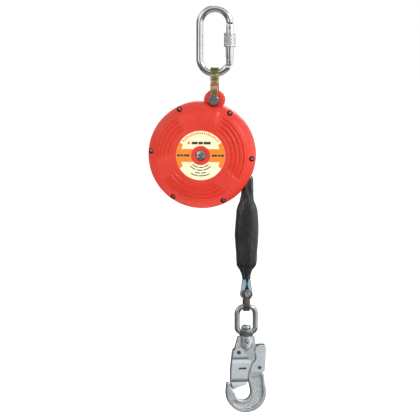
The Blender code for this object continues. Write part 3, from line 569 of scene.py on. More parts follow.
def smooth_outline(outline, step=0.8, rounds=3):
    closed = resampled(outline + outline[:1], step)[:-1]
    return relaxed(closed, rounds, closed=True)


def ease(value, low, high):
    t = min(max((value - low) / (high - low), 0.0), 1.0)
    return t * t * (3 - 2 * t)


def window(value, low, high, soft):
    return ease(value, low - soft, low + soft) * (1 - ease(value, high - soft, high + soft))


def from_case(point):
    return point[0] + CASE[0], point[1] + CASE[1]


# ---- carabiner ----


def carabiner():
    line = arc((0.0, OVAL_TOP_Z), OVAL_HALF_W, 0, 180, 60)
    line += resampled([(-OVAL_HALF_W, OVAL_TOP_Z), (-OVAL_HALF_W, OVAL_LOW_Z)], 6.0)[1:-1]
    line += arc((0.0, OVAL_LOW_Z), OVAL_HALF_W, 180, 331, 50)
    radii = [BAR_R - 0.7, BAR_R - 0.2] + [BAR_R] * (len(line) - 4) + [BAR_R - 0.2, BAR_R - 0.7]
    bar = solid("carabiner_bar", swept([ring(r, 32) for r in radii], lay(line, 0.0, "Y"), (0, 1, 0)), CHROME)
    x, z = LATCH_PIN
    tongue = [(18.9, -15.5), (28.1, -15.5), (28.1, -28.0), (26.8, -29.4), (18.9, -29.4), (18.9, z - 2.4)]
    tongue += arc((x, z), 2.4, -90, 90, 12) + [(18.9, z + 2.4)]
    nose = bevelled(solid("nose", extruded(tongue, -TONGUE_HALF, TONGUE_HALF), CHROME), 0.35, 2)
    away = math.degrees(math.atan2(-7.6, -3.65))
    tang = arc((19.6, -83.6), 4.2, away - 90, away + 90, 12)
    tang += arc(GATE_HINGE, 4.2, away + 90, away + 270, 12)
    hinge = bevelled(solid("tang", extruded(tang, -TONGUE_HALF, TONGUE_HALF), CHROME), 0.35, 2)
    join(bar, nose, hinge)
    bored(bar, GATE_HINGE, HINGE_HOLE_R, (-9, 9), 24)
    place(bar, "anchor", "carabiner_body", slot="polished_steel")


def carabiner_gate():
    x, hinge_z = GATE_HINGE
    low = hinge_z - GATE_R
    barrel = [(GATE_R - 0.9, GATE_TOP_Z), (GATE_R - 0.3, GATE_TOP_Z - 0.25)]
    barrel += [(GATE_R, GATE_TOP_Z - 0.9), (GATE_R, low)]
    gate = solid("gate_barrel", turned(barrel, 64, "Z", (x, 0.0), closed=False), CHROME)
    far = GATE_R + 3
    left = arc(GATE_HINGE, GATE_R, 180, 270, 16)
    left += [(x, hinge_z - far), (x - far, hinge_z - far), (x - far, hinge_z)]
    right = [(2 * x - a, b) for a, b in left]
    cut(gate, solid("l", extruded(left, -9, 9)), solid("r", extruded(right, -9, 9)))
    cut(gate, solid("fork", box((x - 9, -FORK_HALF, -31.0), (x + 9, FORK_HALF, GATE_TOP_Z + 2))))
    cut(gate, solid("foot", box((x - 9, -FORK_HALF, -88.0), (x + 9, FORK_HALF, -69.6))))
    cut(gate, solid("bore", turned([(3.2, -70.5), (3.2, -30.0)], 32, "Z", (x, 0.0), closed=False)))
    bored(gate, LATCH_PIN, LATCH_HOLE_R, (-9, 9), 24)
    bored(gate, GATE_HINGE, HINGE_HOLE_R, (-9, 9), 24)
    groove = rectangle(GATE_R - 0.5, -73.6, GATE_R + 1, -72.6)
    cut(gate, solid("groove", turned(groove, 64, "Z", (x, 0.0))))
    place(bevelled(gate, 0.15, 2, 50.0), "carabiner_gate", "carabiner_gate", slot="polished_steel")


def carabiner_rivets():
    for name, node, pin, r, half in (
        ("latch_rivet", "carabiner_latch_pin", LATCH_PIN, 1.85, 5.6),
        ("hinge_rivet", "carabiner_gate_pin", GATE_HINGE, 1.6, 5.8),
    ):
        profile = both_ends([(r * 0.45, -half), (r * 0.85, -half + 0.25), (r, -half + 0.7)])
        rivet = solid(name, turned(profile, 32, "Y", pin, closed=False), BOLT)
        place(rivet, "carabiner_gate", node, slot="bolt_steel")


def lock_sleeve():
    """A knurled nut: crossed grooves between two plain rims."""
    count, rows = 160, 46
    low, high = LOCK_Z
    loops = []
    for i in range(rows + 1):
        z = low + (high - low) * i / rows
        rim = window(z, low + 2.2, high - 2.2, 0.4)
        end = 0.5 * (ease(z, low + 0.6, low) + ease(z, high - 0.6, high))
        loop = []
        for j in range(count):
            a = 360.0 * j / count
            wave = math.cos(math.radians(a * 20) + z * 2.2) + math.cos(math.radians(a * 20) - z * 2.2)
            r = 8.95 - end - rim * (0.22 - 0.2 * max(min(wave, 1.0), -1.0) * 1.2)
            loop.append((*polar(r, a, (OVAL_HALF_W, 0.0)), z))
        loops.append(loop)
    for r, z in ((7.1, high), (6.65, high - 0.5), (6.65, low + 0.5), (7.1, low)):
        loops.append(lay(ring(r, count, (OVAL_HALF_W, 0.0)), z, "Z"))
    sleeve = solid("knurled_sleeve", loft(loops, closed=True), KNURLED, smooth_deg=50.0)
    place(sleeve, "lock_sleeve", "lock_sleeve", slot="polished_steel")


# ---- straps ----


def ribbon(name, path, half_w, thick, eye_r, hole_r, hole_z, look, tail=False):
    """A bent flat bar whose ends swell into round eyes with a hole through both."""
    path = relaxed(resampled(path, 0.7), 6)
    run = [0.0]
    for a, b in zip(path, path[1:]):
        run.append(run[-1] + (Vector(b) - Vector(a)).length)
    total = run[-1]
    sections = []
    for s in run:
        from_tip = min(s, total - s)
        inside = max(eye_r**2 - (eye_r - from_tip) ** 2, 0.36) if from_tip < eye_r else 0.0
        past = eye_r**2 - (from_tip - eye_r) ** 2 if eye_r <= from_tip < 2 * eye_r else 0.0
        w = math.sqrt(inside) if from_tip < eye_r else max(half_w, math.sqrt(max(past, 0.0)))
        sections.append(rounded_rectangle(thick, 2 * w, min(0.6, w * 0.8), 3))
    made = solid(name, swept(sections, path, (1, 0, 0)), look, tail, smooth_deg=40.0)
    return bored(made, (0.0, hole_z), hole_r, (-30, 30), 40, tail)


def top_shackle():
    reach = LUG_Z - 8.75
    legs = [(-STRAP_LEG_Y, reach), (-STRAP_LEG_Y, -118.0), (-STRAP_BEND_R, -110.5)]
    bend = arc((0.0, STRAP_AXIS_Z), STRAP_BEND_R, 180, 0, 24)
    path = [(0.0, y, z) for y, z in legs + bend + [(-y, z) for y, z in reversed(legs)]]
    strap = ribbon("top_strap", path, STRAP_HALF_W, STRAP_T, 8.75, LUG_EYE_R, LUG_Z, STRAP)
    place(strap, "top_shackle", "top_shackle", slot="passivated_strap")


def hex_part(name, levels, centre, tail=False, closed=False):
    """A bolt or nut, from levels of (radius, height). A hexagon's level also has its largest radius."""
    loops = []
    for radius, y, *most in levels:
        outline = hexagon(radius, 72, centre, *most) if most else ring(radius, 72, centre)
        loops.append(lay(outline, y, "Y"))
    return solid(name, loft(loops, closed), BOLT, tail)


def lug_bolt():
    centre = (0.0, LUG_Z)
    face = STRAP_LEG_Y + STRAP_T / 2 + GAP
    head = [
        (5.9, -face - 5.15), (LUG_HEX_R, -face - 5.2, 6.9), (LUG_HEX_R, -face - 4.9, 7.4),
        (LUG_HEX_R, -face - 4.3, SHARP), (LUG_HEX_R, -face - 0.5, SHARP), (6.7, -face - 0.4),
        (6.7, -face), (4.0, -face), (4.0, face - 1),
    ]
    for i in range(7):
        y = face - 0.5 + i * 1.2
        head += [(3.55, y), (3.95, y + 0.6)]
    bolt = hex_part("lug_hex_bolt", head + [(3.4, face + 7.9)], centre)
    place(bolt, "top_shackle", "lug_bolt", slot="bolt_steel")
    nut = [
        (4.3, face), (7.0, face), (LUG_HEX_R, face + 0.6, SHARP), (LUG_HEX_R, face + 5.8, SHARP),
        (LUG_HEX_R, face + 6.4, 7.2), (4.6, face + 6.4), (4.3, face + 6.0),
    ]
    place(hex_part("lug_hex_nut", nut, centre, closed=True), "top_shackle", "lug_nut", slot="bolt_steel")


# ---- casing ----

LUG_WAY = Vector((-CASE[0], LUG_Z - CASE[1])).normalized()
EXIT_WAY = Vector((math.cos(math.radians(-46)), math.sin(math.radians(-46))))
RIB_RADII = (48.6, 55.2, 61.8, 68.2)


def rib_sectors(r):
    """The angles that the concentric ribs run between, at a radius."""
    t = (r - 48.0) / 20.0
    yield -26.0 - 7.0 * t, 55.0 + 6.0 * t
    yield 123.0, 178.5 + 7.5 * t
    yield 214.5 - 3.0 * t, 298.0 + 7.0 * t


def relief(r, degrees):
    """How far a cover's face stands out of its plain dome: ribs, the lug panel and the outlet panel."""
    if not 42.5 < r < 73.0:
        return 0.0
    soft = math.degrees(1.1 / r)
    total = 0.0
    field = 0.0
    for low, high in rib_sectors(r):
        middle = (low + high) / 2
        a = (degrees - middle + 180.0) % 360.0 - 180.0 + middle
        field = max(field, window(a, low, high, soft * 1.5))
    total -= 0.7 * field * window(r, 44.6, 71.0, 0.8)
    for k in RIB_RADII:
        off = abs(r - k)
        if off < 2.0:
            total += 2.2 * field * math.cos(math.pi * off / 4.0) ** 2
    x, z = polar(r, degrees)
    s, t = x * LUG_WAY.x + z * LUG_WAY.y, x * LUG_WAY.y - z * LUG_WAY.x
    if s > 0:
        total += 1.2 * window(s, 44.0, 74.0, 0.8) * window(t, -13.6 - (60 - s) * 0.05, 13.2, 0.45)
        total += 0.8 * window(s, 49.5, 73.0, 0.6) * window(t, -8.2, 10.6, 0.45)
    s, t = x * EXIT_WAY.x + z * EXIT_WAY.y, x * -EXIT_WAY.y + z * EXIT_WAY.x
    if s > 0:
        low = -14.2 + (s - 50.0) * 0.42
        high = 12.7 + (s - 50.0) * 0.12
        total += 1.3 * window(s, 44.0, 76.0, 1.0) * window(t, low, high, 0.45)
    return total


def cover_sections(labelled):
    """A cover's outside and inside as (radius, depth) points. The front has a seat for the label."""
    outline = [(8.4, 31.0), (9.4, FACE_DEPTH), (14.6, FACE_DEPTH)]
    if labelled:
        outline += [(14.7, 31.2), (38.4, 31.2), (38.5, FACE_DEPTH)]
    outline += [(40.5, FACE_DEPTH), (56.0, 29.8), (68.0, 26.8), (73.0, 23.8), (78.0, 18.5)]
    outline += [(81.8, 12.5), (CASE_R, 7.0), (CASE_R, SPLIT_DEPTH)]
    inside = [(CASE_INSIDE_R, SPLIT_DEPTH), (CASE_INSIDE_R, 6.8), (72.6, 6.8), (72.4, 17.0)]
    inside += [(69.6, 21.4), (40.0, 28.6), (8.4, 28.6)]
    return relaxed(resampled(outline, 0.75), 3), inside


def screw_places():
    return [from_case(polar(SCREW_CIRCLE_R, SCREW_FIRST_DEG + 360.0 / SCREWS * i)) for i in range(SCREWS)]


def towards_lug(s, t):
    """A point s from the casing's centre towards the lug, and t aside."""
    return CASE[0] + s * LUG_WAY.x + t * LUG_WAY.y, CASE[1] + s * LUG_WAY.y - t * LUG_WAY.x


def add_lug(cover, side):
    """Half of the lug on a cover, with the pocket for the load plates and the bolt's eye."""
    centre = (0.0, LUG_Z)
    bored(cover, centre, LUG_RELIEF_R, outward(side, LUG_HALF - GAP, 40), 64)
    profile = [(8.0, SPLIT_DEPTH), (LUG_R, SPLIT_DEPTH), (LUG_R, 10.2), (LUG_R - 0.3, 11.0)]
    profile += [(LUG_R - 1.0, LUG_HALF), (8.0, LUG_HALF)]
    lug = solid("lug", turned([(r, side * d) for r, d in profile], 96, "Y", centre), RED)
    core = solid("core", extruded(ring(8.6, 48, centre), *outward(side, SPLIT_DEPTH, LUG_HALF)), RED)
    join(cover, join(lug, core))
    reach = math.hypot(CASE[0], LUG_Z - CASE[1])
    pocket = [(66.0, -10.6)] + arc((reach, 0.0), 10.6, -90, 90, 20) + [(66.0, 10.6)]
    ramp = rectangle(64.0, -10.9, 73.6, 10.9)
    for outline, depth in ((pocket, 9.9), (ramp, 12.4)):
        outline = [towards_lug(s, t) for s, t in outline]
        cut(cover, solid("pocket", extruded(outline, *outward(side, -1, depth))))
    bored(cover, centre, LUG_EYE_R, outward(side, -2, 15), 48)


def cut_mouth(cover, side):
    """The mouth that the sleeve goes into, and the line's way out through it."""
    mouth = [(66.4, -34.6), (75.2, -34.6), (76.2, -31.0), (92.0, -31.0)]
    mouth += [(92.0, -99.0), (60.3, -99.0), (60.3, -44.6), (63.4, -39.9)]
    cut(cover, solid("mouth", extruded([from_case(p) for p in mouth], *outward(side, -1, 8.9))))
    bore = turned([(5.3, CASE[1] - 36), (5.3, CASE[1] - 6)], 40, "Z", (LINE_X, 0.0), closed=False)
    cut(cover, solid("bore", bore))


def casing_cover(name, side, node):
    count = 384
    outer, inside = cover_sections(side < 0)
    loops = []
    for r, depth in outer:
        loop = []
        for j in range(count):
            a = 360.0 * j / count
            x, z = polar(r, a, CASE)
            loop.append((x, side * (depth + relief(r, a)), z))
        loops.append(loop)
    loops += [lay(ring(r, count, CASE), side * depth, "Y") for r, depth in inside]
    made = solid(name, loft(loops, closed=True), RED, smooth_deg=55.0)
    add_lug(made, side)
    cut_mouth(made, side)
    for at in screw_places():
        if side < 0:
            bored(made, at, SCREW_WELL_R, outward(side, SCREW_WELL_DEPTH, 30), 48)
        bored(made, at, SCREW_HOLE_R, outward(side, -1, 6 if side < 0 else 8.6), 24)
    resmooth(made, 40.0)
    place(made, "casing", node, slot="red_cover")


def casing_covers():
    casing_cover("cover_face", -1, "front_cover")
    casing_cover("cover_back", 1, "rear_cover")


def casing_screws():
    """Pan heads with a cross recess, each turned a little differently."""
    for i, at in enumerate(screw_places()):
        profile = [(0.8, -9.85), (1.9, -9.75), (2.6, -9.35), (3.0, -8.6)]
        profile += [(3.1, -7.8), (3.1, -5.1), (1.8, -5.1)]
        for k in range(10):
            profile += [(1.45, -4.8 + k * 1.25), (1.8, -4.2 + k * 1.25)]
        head = solid(f"screw_{i + 1}", turned(profile, 40, "Y", at, closed=False), PLATED)
        for half_x, half_z in ((0.42, 1.9), (1.9, 0.42)):
            spin = Matrix.Rotation(math.radians(17 + 41 * i), 2)
            corners = rectangle(-half_x, -half_z, half_x, half_z)
            arm = [tuple(spin @ Vector(c) + Vector(at)) for c in corners]
            cut(head, solid("arm", extruded(arm, -11.0, -8.7)))
        place(head, "casing", f"cover_screw_{i + 1}", slot="plated_steel")


def printed(name, outline, look, proud=0.03, sunk=0.0):
    """A thin printed shape on the label, drawn from the casing's centre."""
    shape = extruded([from_case(p) for p in outline], PRINT_Y - proud, PRINT_Y + sunk)
    place(solid(name, shape, look), "casing", slot="label")


def annular(inner, outer, start, end, steps):
    return arc((0.0, 0.0), outer, start, end, steps) + arc((0.0, 0.0), inner, end, start, steps)


def label():
    """A round label: cream, with an orange band that ends in swallowtails, and plain bars for its print."""
    low = -LABEL_DEPTH
    profile = [(LABEL_HUB_R, low), (LABEL_HUB_R, low - 0.3), (LABEL_HUB_R + 0.1, low - 0.4)]
    profile += [(LABEL_R - 0.1, low - 0.4), (LABEL_R, low - 0.3), (LABEL_R, low)]
    place(solid("label_disc", turned(profile, 160, "Y", CASE), CREAM), "casing", "front_label", slot="label")
    start = math.degrees(math.asin(10.0 / LABEL_HUB_R))
    top = math.degrees(math.asin(20.3 / LABEL_R))
    tails = [(29.6, 10.0), (27.2, 16.6), (32.2, 20.3)]
    outline = tails + arc((0.0, 0.0), LABEL_R - 0.15, top, -top, 30) + [(x, -z) for x, z in reversed(tails)]
    outline += arc((0.0, 0.0), LABEL_HUB_R + 0.1, -start, start, 16)
    for side in (-1, 1):
        printed(f"label_band_{side}", [(side * x, z) for x, z in outline], ORANGE, sunk=0.1)
        for j, (x0, x1) in enumerate(((17.2, 25.6), (27.0, 30.4), (31.4, 36.4))):
            printed(f"label_bar_{side}_{j}", rectangle(side * x0, -1.5, side * x1, 1.5), INK, proud=0.06)
    for i in range(21):
        a = 40.0 + 5.0 * i
        top = 36.4 - 0.8 * (i % 3 == 1)
        printed(f"label_tick_{i}", annular(32.8, top, a - 1.5, a + 1.5, 3), ORANGE)
    for i, (x0, x1) in enumerate(((-13.6, -4.6), (-3.6, 3.6), (4.6, 15.6))):
        printed(f"label_title_{i}", rectangle(x0, 17.2, x1, 21.2), INK)
    printed("label_mark", ring(2.3, 32, (-18.2, 19.2)), ORANGE)
    for i, (r, words) in enumerate((
        (18.4, ((-42, -12), (-8, 14), (18, 42))), (22.8, ((-45, -20), (-16, 8), (12, 44))),
        (27.2, ((-18, -2), (2, 18))), (31.4, ((-28, -8), (-5, 26))),
    )):
        for j, (start, end) in enumerate(words):
            printed(f"label_word_{i}_{j}", annular(r - 0.75, r + 0.75, 270 + start, 270 + end, 12), INK)


def shaft():
    end = [(6.6, -29.4), (7.4, -29.1), (7.7, -28.6), (7.7, -26.2), (6.9, -26.2), (6.9, -24.8), (7.7, -24.8)]
    made = solid("shaft", turned(both_ends(end), 96, "Y", CASE, closed=False), PLATED)
    x, z = CASE
    for side in (-1, 1):
        slot_end = arc((x + side * 6.2, z), 1.5, 0, 360, 24)[:-1]
        for shape in (slot_end, rectangle(x + side * 6.2, z - 1.5, x + side * 9.0, z + 1.5)):
            cut(made, solid("slot", extruded(shape, -31, -26.6)))
    place(bevelled(made, 0.2, 2), "casing", "main_shaft", slot="bolt_steel")


# ---- line and absorber ----


def line_run():
    """The wire rope from the drum to its ferrule."""
    count, rows = 48, 60
    top, low = CASE[1], LINE_LOW_Z
    loops = []
    for i in range(rows + 1):
        z = top + (low - top) * i / rows
        twist = z * 9.0
        loop = []
        for j in range(count):
            a = 360.0 * j / count
            r = 2.05 + 0.32 * abs(math.cos(math.radians(3 * a + twist)))
            loop.append((*polar(r, a, (LINE_X, 0.0)), z))
        loops.append(loop)
    rope = solid("rope_run", loft(loops), ROPE, smooth_deg=60.0)
    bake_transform(rope)
    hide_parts("line_run")


# (height, offset, half width, half depth)
SLEEVE_LEVELS = (
    (-257.2, 2.9, 5.6, 6.2), (-259.5, 2.2, 7.6, 7.6), (-268.0, 0.9, 9.1, 8.2), (-281.0, 0.6, 9.7, 8.4),
    (-292.0, 0.2, 11.4, 9.0), (-305.0, 0.2, 16.6, 10.4), (-318.0, 0.4, 17.8, 10.8),
    (-347.0, -0.2, 19.2, 11.0), (-362.0, 0.0, 18.0, 11.0), (-375.0, 0.0, 16.8, 11.0),
    (-389.0, 0.0, 16.4, 10.8), (-395.0, -0.5, 15.0, 10.4),
    (-401.5, -1.0, 9.2, 8.6), (-407.0, -0.5, 7.3, 7.2), (-415.0, -0.2, 6.3, 6.4),
)


def sleeve_level(z):
    """Offset, half width and half depth of the sleeve at a height, straight between its levels."""
    for (z0, *low), (z1, *high) in zip(SLEEVE_LEVELS, SLEEVE_LEVELS[1:]):
        if z >= z1:
            t = (z0 - z) / (z0 - z1)
            return [a + (b - a) * t for a, b in zip(low, high)]
    return SLEEVE_LEVELS[-1][1:]


def absorber_sleeve():
    count, step = 120, 1.1
    top, low = SLEEVE_LEVELS[0][0], SLEEVE_LEVELS[-1][0]
    rows = round((top - low) / step)
    heights = [top + (low - top) * i / rows for i in range(rows + 1)]
    sizes = relaxed([sleeve_level(z) for z in heights], 8)

    def loop(i, inset):
        z = heights[i]
        off, a, b = sizes[i]
        found = []
        narrow = ease(a, 15.0, 8.0)
        for j in range(count):
            t = 2 * math.pi * j / count
            c, s = math.cos(t), math.sin(t)
            x = math.copysign(abs(c) ** 0.8, c) * (a - inset)
            y = math.copysign(abs(s) ** 0.8, s) * (b - inset)
            spot = Vector((x * 0.16, y * 0.16, z * 0.035))
            crease = noise.noise(spot) * 0.5 + noise.noise(spot * 2.3) * 0.8 * (0.35 + narrow)
            folds = narrow * 0.5 * math.sin(6 * t + z * 0.07)
            swell = 1 + (crease + folds - 0.35) / max(math.hypot(x, y), 4.0)
            corner = 3.6 * ease(x + off, 5.2, 7.4) * ease(z, -262.0, top)
            found.append((LINE_X + off + x * swell, y * swell, z + corner))
        return found

    loops = [loop(i, 0.0) for i in range(rows + 1)] + [loop(i, 1.1) for i in range(rows, -1, -1)]
    made = solid("shrink_sleeve", loft(loops, closed=True), SLEEVE, smooth_deg=60.0)
    place(made, "line", "absorber_sleeve", slot="black_sleeve")


# ---- thimble, shackle, ring, swivel ----


def teardrop(radius, half_top, top_z, inset=0.0):
    r, w = radius - inset, max(half_top - inset, 0.4)
    outline = arc((0.0, BOLT_Z), r, 170, 370, 64)
    right = resampled([outline[-1], (w, top_z - inset)], 1.0)[1:]
    return outline + right + [(-x, y) for x, y in reversed(right)]


def respaced(outline, count):
    """A closed outline again from the same place, with evenly spaced points."""
    points = [Vector(p) for p in outline + outline[:1]]
    run = [0.0]
    for a, b in zip(points, points[1:]):
        run.append(run[-1] + (b - a).length)
    found, k = [], 0
    for i in range(count):
        at = run[-1] * i / count
        while run[k + 1] < at:
            k += 1
        share = (at - run[k]) / max(run[k + 1] - run[k], 1e-9)
        found.append(tuple(points[k].lerp(points[k + 1], share)))
    return found


def thimble():
    """A grooved eye with a thin web. The faces near its middle are dark, as they are deep in shadow."""
    rim, soft, groove = (
        teardrop(THIMBLE_R, THIMBLE_NECK_HALF, THIMBLE_TOP_Z, inset) for inset in (0.0, 0.35, 2.6)
    )
    hole = teardrop(5.6, 0.8, -423.0)
    count = min(len(outline) for outline in (rim, soft, groove, hole))
    order = [(soft, -5.5), (rim, -5.1), (rim, -4.4), (groove, -3.2), (groove, 3.2)]
    order += [(rim, 4.4), (rim, 5.1), (soft, 5.5), (hole, 5.5), (hole, -5.5)]
    shape = loft([lay(respaced(outline, count), y, "Y") for outline, y in order], closed=True)
    made = solid("thimble_ring", shape, BLUE_ZINC, True, 45.0)
    web = [(-2.8, -415.9), (-4.6, -431.5), (4.6, -431.5), (2.8, -415.9)]
    join(made, solid("web", extruded(web, -1.2, 1.2), BLUE_ZINC, True))
    wedge = [(-3.0, -413.0), (-0.5, -424.0), (0.5, -424.0), (3.0, -413.0)]
    for low, high in ((-6.0, -1.3), (1.3, 6.0)):
        cut(made, solid("wedge", extruded(wedge, low, high), None, True))
    # Painted shade: the faces near the thimble's middle get the darker copy of its zinc.
    made.data.materials.append(SHADED_BLUE_ZINC)
    for face in made.data.polygons:
        x, y, z = face.center / MM
        across = y * math.cos(TAIL_YAW) - (x - LINE_X) * math.sin(TAIL_YAW)
        if abs(across) < 1.5 and z > -431.2:
            face.material_index = 1
    place(made, "line", "thimble", slot="blue_zinc")


def lower_shackle():
    mid = LOWER_STRAP_INNER + LOWER_STRAP_T / 2
    top = BOLT_Z + 8.0
    bend = [(0.0, y, z) for y, z in arc((0.0, -457.3), mid, 180, 360, 24)]
    path = [(0.0, -mid, top)] + bend + [(0.0, mid, top)]
    made = ribbon("lower_strap", path, 4.8, LOWER_STRAP_T, 8.0, 3.3, BOLT_Z, DARK_STEEL_AND_RIVET_SHADE, tail=True)
    place(made, "lower_shackle", "lower_shackle", slot="dark_steel")


def lower_bolt():
    face = LOWER_STRAP_INNER + LOWER_STRAP_T + GAP
    centre = (0.0, BOLT_Z)
    profile = [(2.6, -face - 3.6), (3.6, -face - 3.5), (4.5, -face - 2.7), (4.9, -face - 1.4), (4.9, -face)]
    profile += [(3.0, -face), (3.0, face + 4.6), (2.5, face + 5.6)]
    bolt = solid("shackle_bolt", turned(profile, 48, "Y", centre, closed=False), PINK_BOLT, True)
    cut(bolt, solid("socket", extruded(hexagon(2.3, 6, centre), -face - 5.0, -face - 1.8), None, True))
    bevelled(bolt, 0.15, 2)
    place(bolt, "lower_shackle", "lower_bolt", slot="bolt_steel")
    nut = [
        (3.3, face), (5.4, face), (LOWER_HEX_R, face + 0.4, SHARP), (LOWER_HEX_R, face + 4.0, SHARP),
        (LOWER_HEX_R, face + 4.5, 5.5), (3.6, face + 4.5), (3.3, face + 4.2),
    ]
    made = hex_part("shackle_nut", nut, centre, tail=True, closed=True)
    place(made, "lower_shackle", "lower_nut", slot="bolt_steel")


def stud_bored(piece, high, low):
    """Cuts the stud's bore, along Z."""
    bore = turned([(STUD_BORE_R, high), (STUD_BORE_R, low)], 48, "Z", closed=False)
    cut(piece, solid("bore", bore, None, True))


def swivel_ring():
    half_w, top_r, low_r = 14.4, 11.5, 8.0
    path = arc((half_w - top_r, RING_TOP_Z - top_r), top_r, 0, 90, 24)
    path += arc((top_r - half_w, RING_TOP_Z - top_r), top_r, 90, 180, 24)
    path += arc((low_r - half_w, RING_LOW_Z + low_r), low_r, 180, 270, 16)
    path += arc((half_w - low_r, RING_LOW_Z + low_r), low_r, 270, 360, 16)
    bail = swept([ring(RING_BAR_R, 36)] * len(path), lay(path, 0.0, "Y"), (0, 1, 0), closed=True)
    made = solid("swivel_bail", bail, RING, True, 50.0)
    boss = [(9.6, -493.8), (10.5, -494.1), (11.0, -494.9), (11.0, -503.1), (10.6, -503.8), (10.0, -504.0)]
    join(made, solid("boss", turned(boss, 96, "Z", closed=False), RING, True))
    stud_bored(made, -488.0, -509.0)
    place(bevelled(made, 0.4, 2, 60.0), "swivel_ring", "swivel_ring", slot="ring_steel")


def tail_rivet(name, node, at, end, look):
    rivet = solid(name, turned(both_ends(end), 40, "Y", at, closed=False), look, True)
    place(rivet, "hook", node, slot="bolt_steel")


def swivel_stud():
    head = [(1.2, -486.2), (3.4, -486.5), (5.6, -487.5), (7.0, -488.9), (7.6, -490.4), (7.75, -491.6)]
    head += [(7.5, -492.0), (5.6, -492.1), (5.5, -493.4), (4.3, -493.4), (4.3, -523.0), (3.8, -523.6)]
    stud = solid("mushroom_stud", turned(head, 72, "Z", closed=False), RING, True)
    bored(stud, STUD_PIN, STUD_PIN_HOLE_R, (-9, 9), tail=True)
    place(stud, "hook", "swivel_stud", slot="bolt_steel")
    tail_rivet("cross_rivet", "stud_cross_pin", STUD_PIN, [(1.2, -10.7), (2.4, -10.5), (3.0, -10.0)], RING)


# ---- hook ----


def hook_outline():
    right = [(13.2, -505.0), (14.6, -522.0), (16.5, -530.0)]
    right += [(20.5, -545.0), (24.5, -557.0), (28.2, -566.0)]
    bow = arc(BOW, 32.0, 21, -180, 60)
    nose = [(-30.9, -579.5), (-29.6, -577.6), (-26.6, -577.6)]
    nose += [(-25.3, -579.5), (-24.9, -586.5), (-21.0, -590.5)]
    opening = arc(EYE, 12.4, 180, 375, 40)
    inner = [(5.2, -582.0), (2.8, -575.0), (2.4, -560.0), (1.0, -552.0), (-4.0, -543.0)]
    ear = arc(HOOK_PIN, 5.5, -60, -180, 14)
    return right + bow + nose + opening + inner + ear + [(-18.0, -523.0), (-13.2, -505.0)]


def web_outline():
    outer = [(23.2, -566.0), (25.0, -574.0)] + arc(BOW, 26.6, 18, -145, 40)
    inner = arc(EYE, 17.0, -142, 8, 36) + [(9.8, -583.0), (7.8, -576.0), (7.4, -569.0), (13.8, -569.6)]
    return outer + inner


def remeshed(piece, voxel, rounds):
    """The piece as one even skin, with its edges softened as forging softens them."""
    step = piece.modifiers.new("skin", "REMESH")
    step.mode = "VOXEL"
    step.voxel_size = voxel * MM
    step.use_smooth_shade = True
    bake(piece)
    step = piece.modifiers.new("soften", "SMOOTH")
    step.factor = 0.5
    step.iterations = rounds
    bake(piece)
    piece.data.shade_smooth()
    return piece


def chevron(side, depth):
    """What is cut off the end of the barrel at a depth: below a blunt V that slopes back to the flat."""
    out = depth - SHOULDER_HALF
    shoulder, point = -519.2 + 0.2 * out, -528.0 + 0.5 * out
    outline = [(-12.0, shoulder), (0.0, point), (12.0, shoulder), (12.0, -545.0), (-12.0, -545.0)]
    return lay(outline, side * depth, "Y")


def hook_body():
    outline = smooth_outline(hook_outline(), 0.9, 3)
    body = solid("hook_forging", extruded(outline, -FORGING_HALF, FORGING_HALF), FORGING, True)
    bevelled(body, 1.6, 4, 60.0)
    shoulder = [(-16.0, -500.0), (16.0, -500.0), (16.0, -529.0), (0.0, -536.0), (-16.0, -529.0)]
    web = smooth_outline(web_outline(), 0.9, 4)
    for side in (-1, 1):
        cut(body, solid("shoulder", extruded(shoulder, *outward(side, SHOULDER_HALF, 9.0)), None, True))
    barrel = [(9.2, -504.4), (BARREL_R, -505.4), (BARREL_R, -531.0)]
    socket = solid("barrel", turned(barrel, 96, "Z", closed=False), FORGING, True)
    for side in (-1, 1):
        cut(socket, solid("chevron", loft([chevron(side, depth) for depth in (3.0, 14.0)]), None, True))
    join(body, socket)
    stud_bored(body, -500.0, -524.2)
    for side in (-1, 1):
        cut(body, solid("web", extruded(web, *outward(side, WEB_HALF, 10.5)), None, True))
    pins = ((HOOK_PIN, HOOK_PIN_HOLE_R), (LEVER_PIN, LEVER_PIN_HOLE_R), (STUD_PIN, STUD_PIN_HOLE_R))
    for at, r in pins:
        bored(body, at, r, THROUGH, tail=True)
    for at, r in ((HOOK_PIN, 5.7), (LEVER_PIN, 5.2)):
        bored(body, at, r, (-3.2, 3.2), tail=True)
    place(remeshed(body, 0.42, 2), "hook", "hook_body", slot="zinc_forging")


def folded(name, outline, hollow, half, on_edge, bend_r, shift=None):
    """A folded sheet: a block with a rounded side, hollowed from the other. shift moves its faces out."""
    points, faces = extruded(outline, -half, half)
    mesh = bmesh.new()
    corners = [mesh.verts.new(p) for p in points]
    for face in faces:
        mesh.faces.new([corners[i] for i in face])
    mesh.edges.ensure_lookup_table()
    rounded = [
        e for e in mesh.edges
        if abs(e.verts[0].co.y - e.verts[1].co.y) < 0.1 and all(on_edge(v.co.x) for v in e.verts)
    ]
    bmesh.ops.bevel(mesh, geom=rounded, offset=bend_r, segments=5, profile=0.5, affect="EDGES")
    low = min(v.co.z for v in mesh.verts)
    high = max(v.co.z for v in mesh.verts)
    z = low + 0.8
    while z < high - 0.8:
        everything = mesh.verts[:] + mesh.edges[:] + mesh.faces[:]
        bmesh.ops.bisect_plane(mesh, geom=everything, plane_co=(0, 0, z), plane_no=(0, 0, 1))
        z += 1.0
    for v in mesh.verts if shift else ():
        v.co.y += math.copysign(shift(v.co.z) * min(abs(v.co.y) / half, 1.0), v.co.y)
    mesh.verts.index_update()
    shape = [tuple(v.co) for v in mesh.verts], [[v.index for v in f.verts] for f in mesh.faces]
    mesh.free()
    made = solid(name, shape, SHEET, True, 35.0)
    inner = solid("hollow", extruded(hollow, SHEET_T - half, half - SHEET_T), SHEET, True)
    return cut(made, inner)


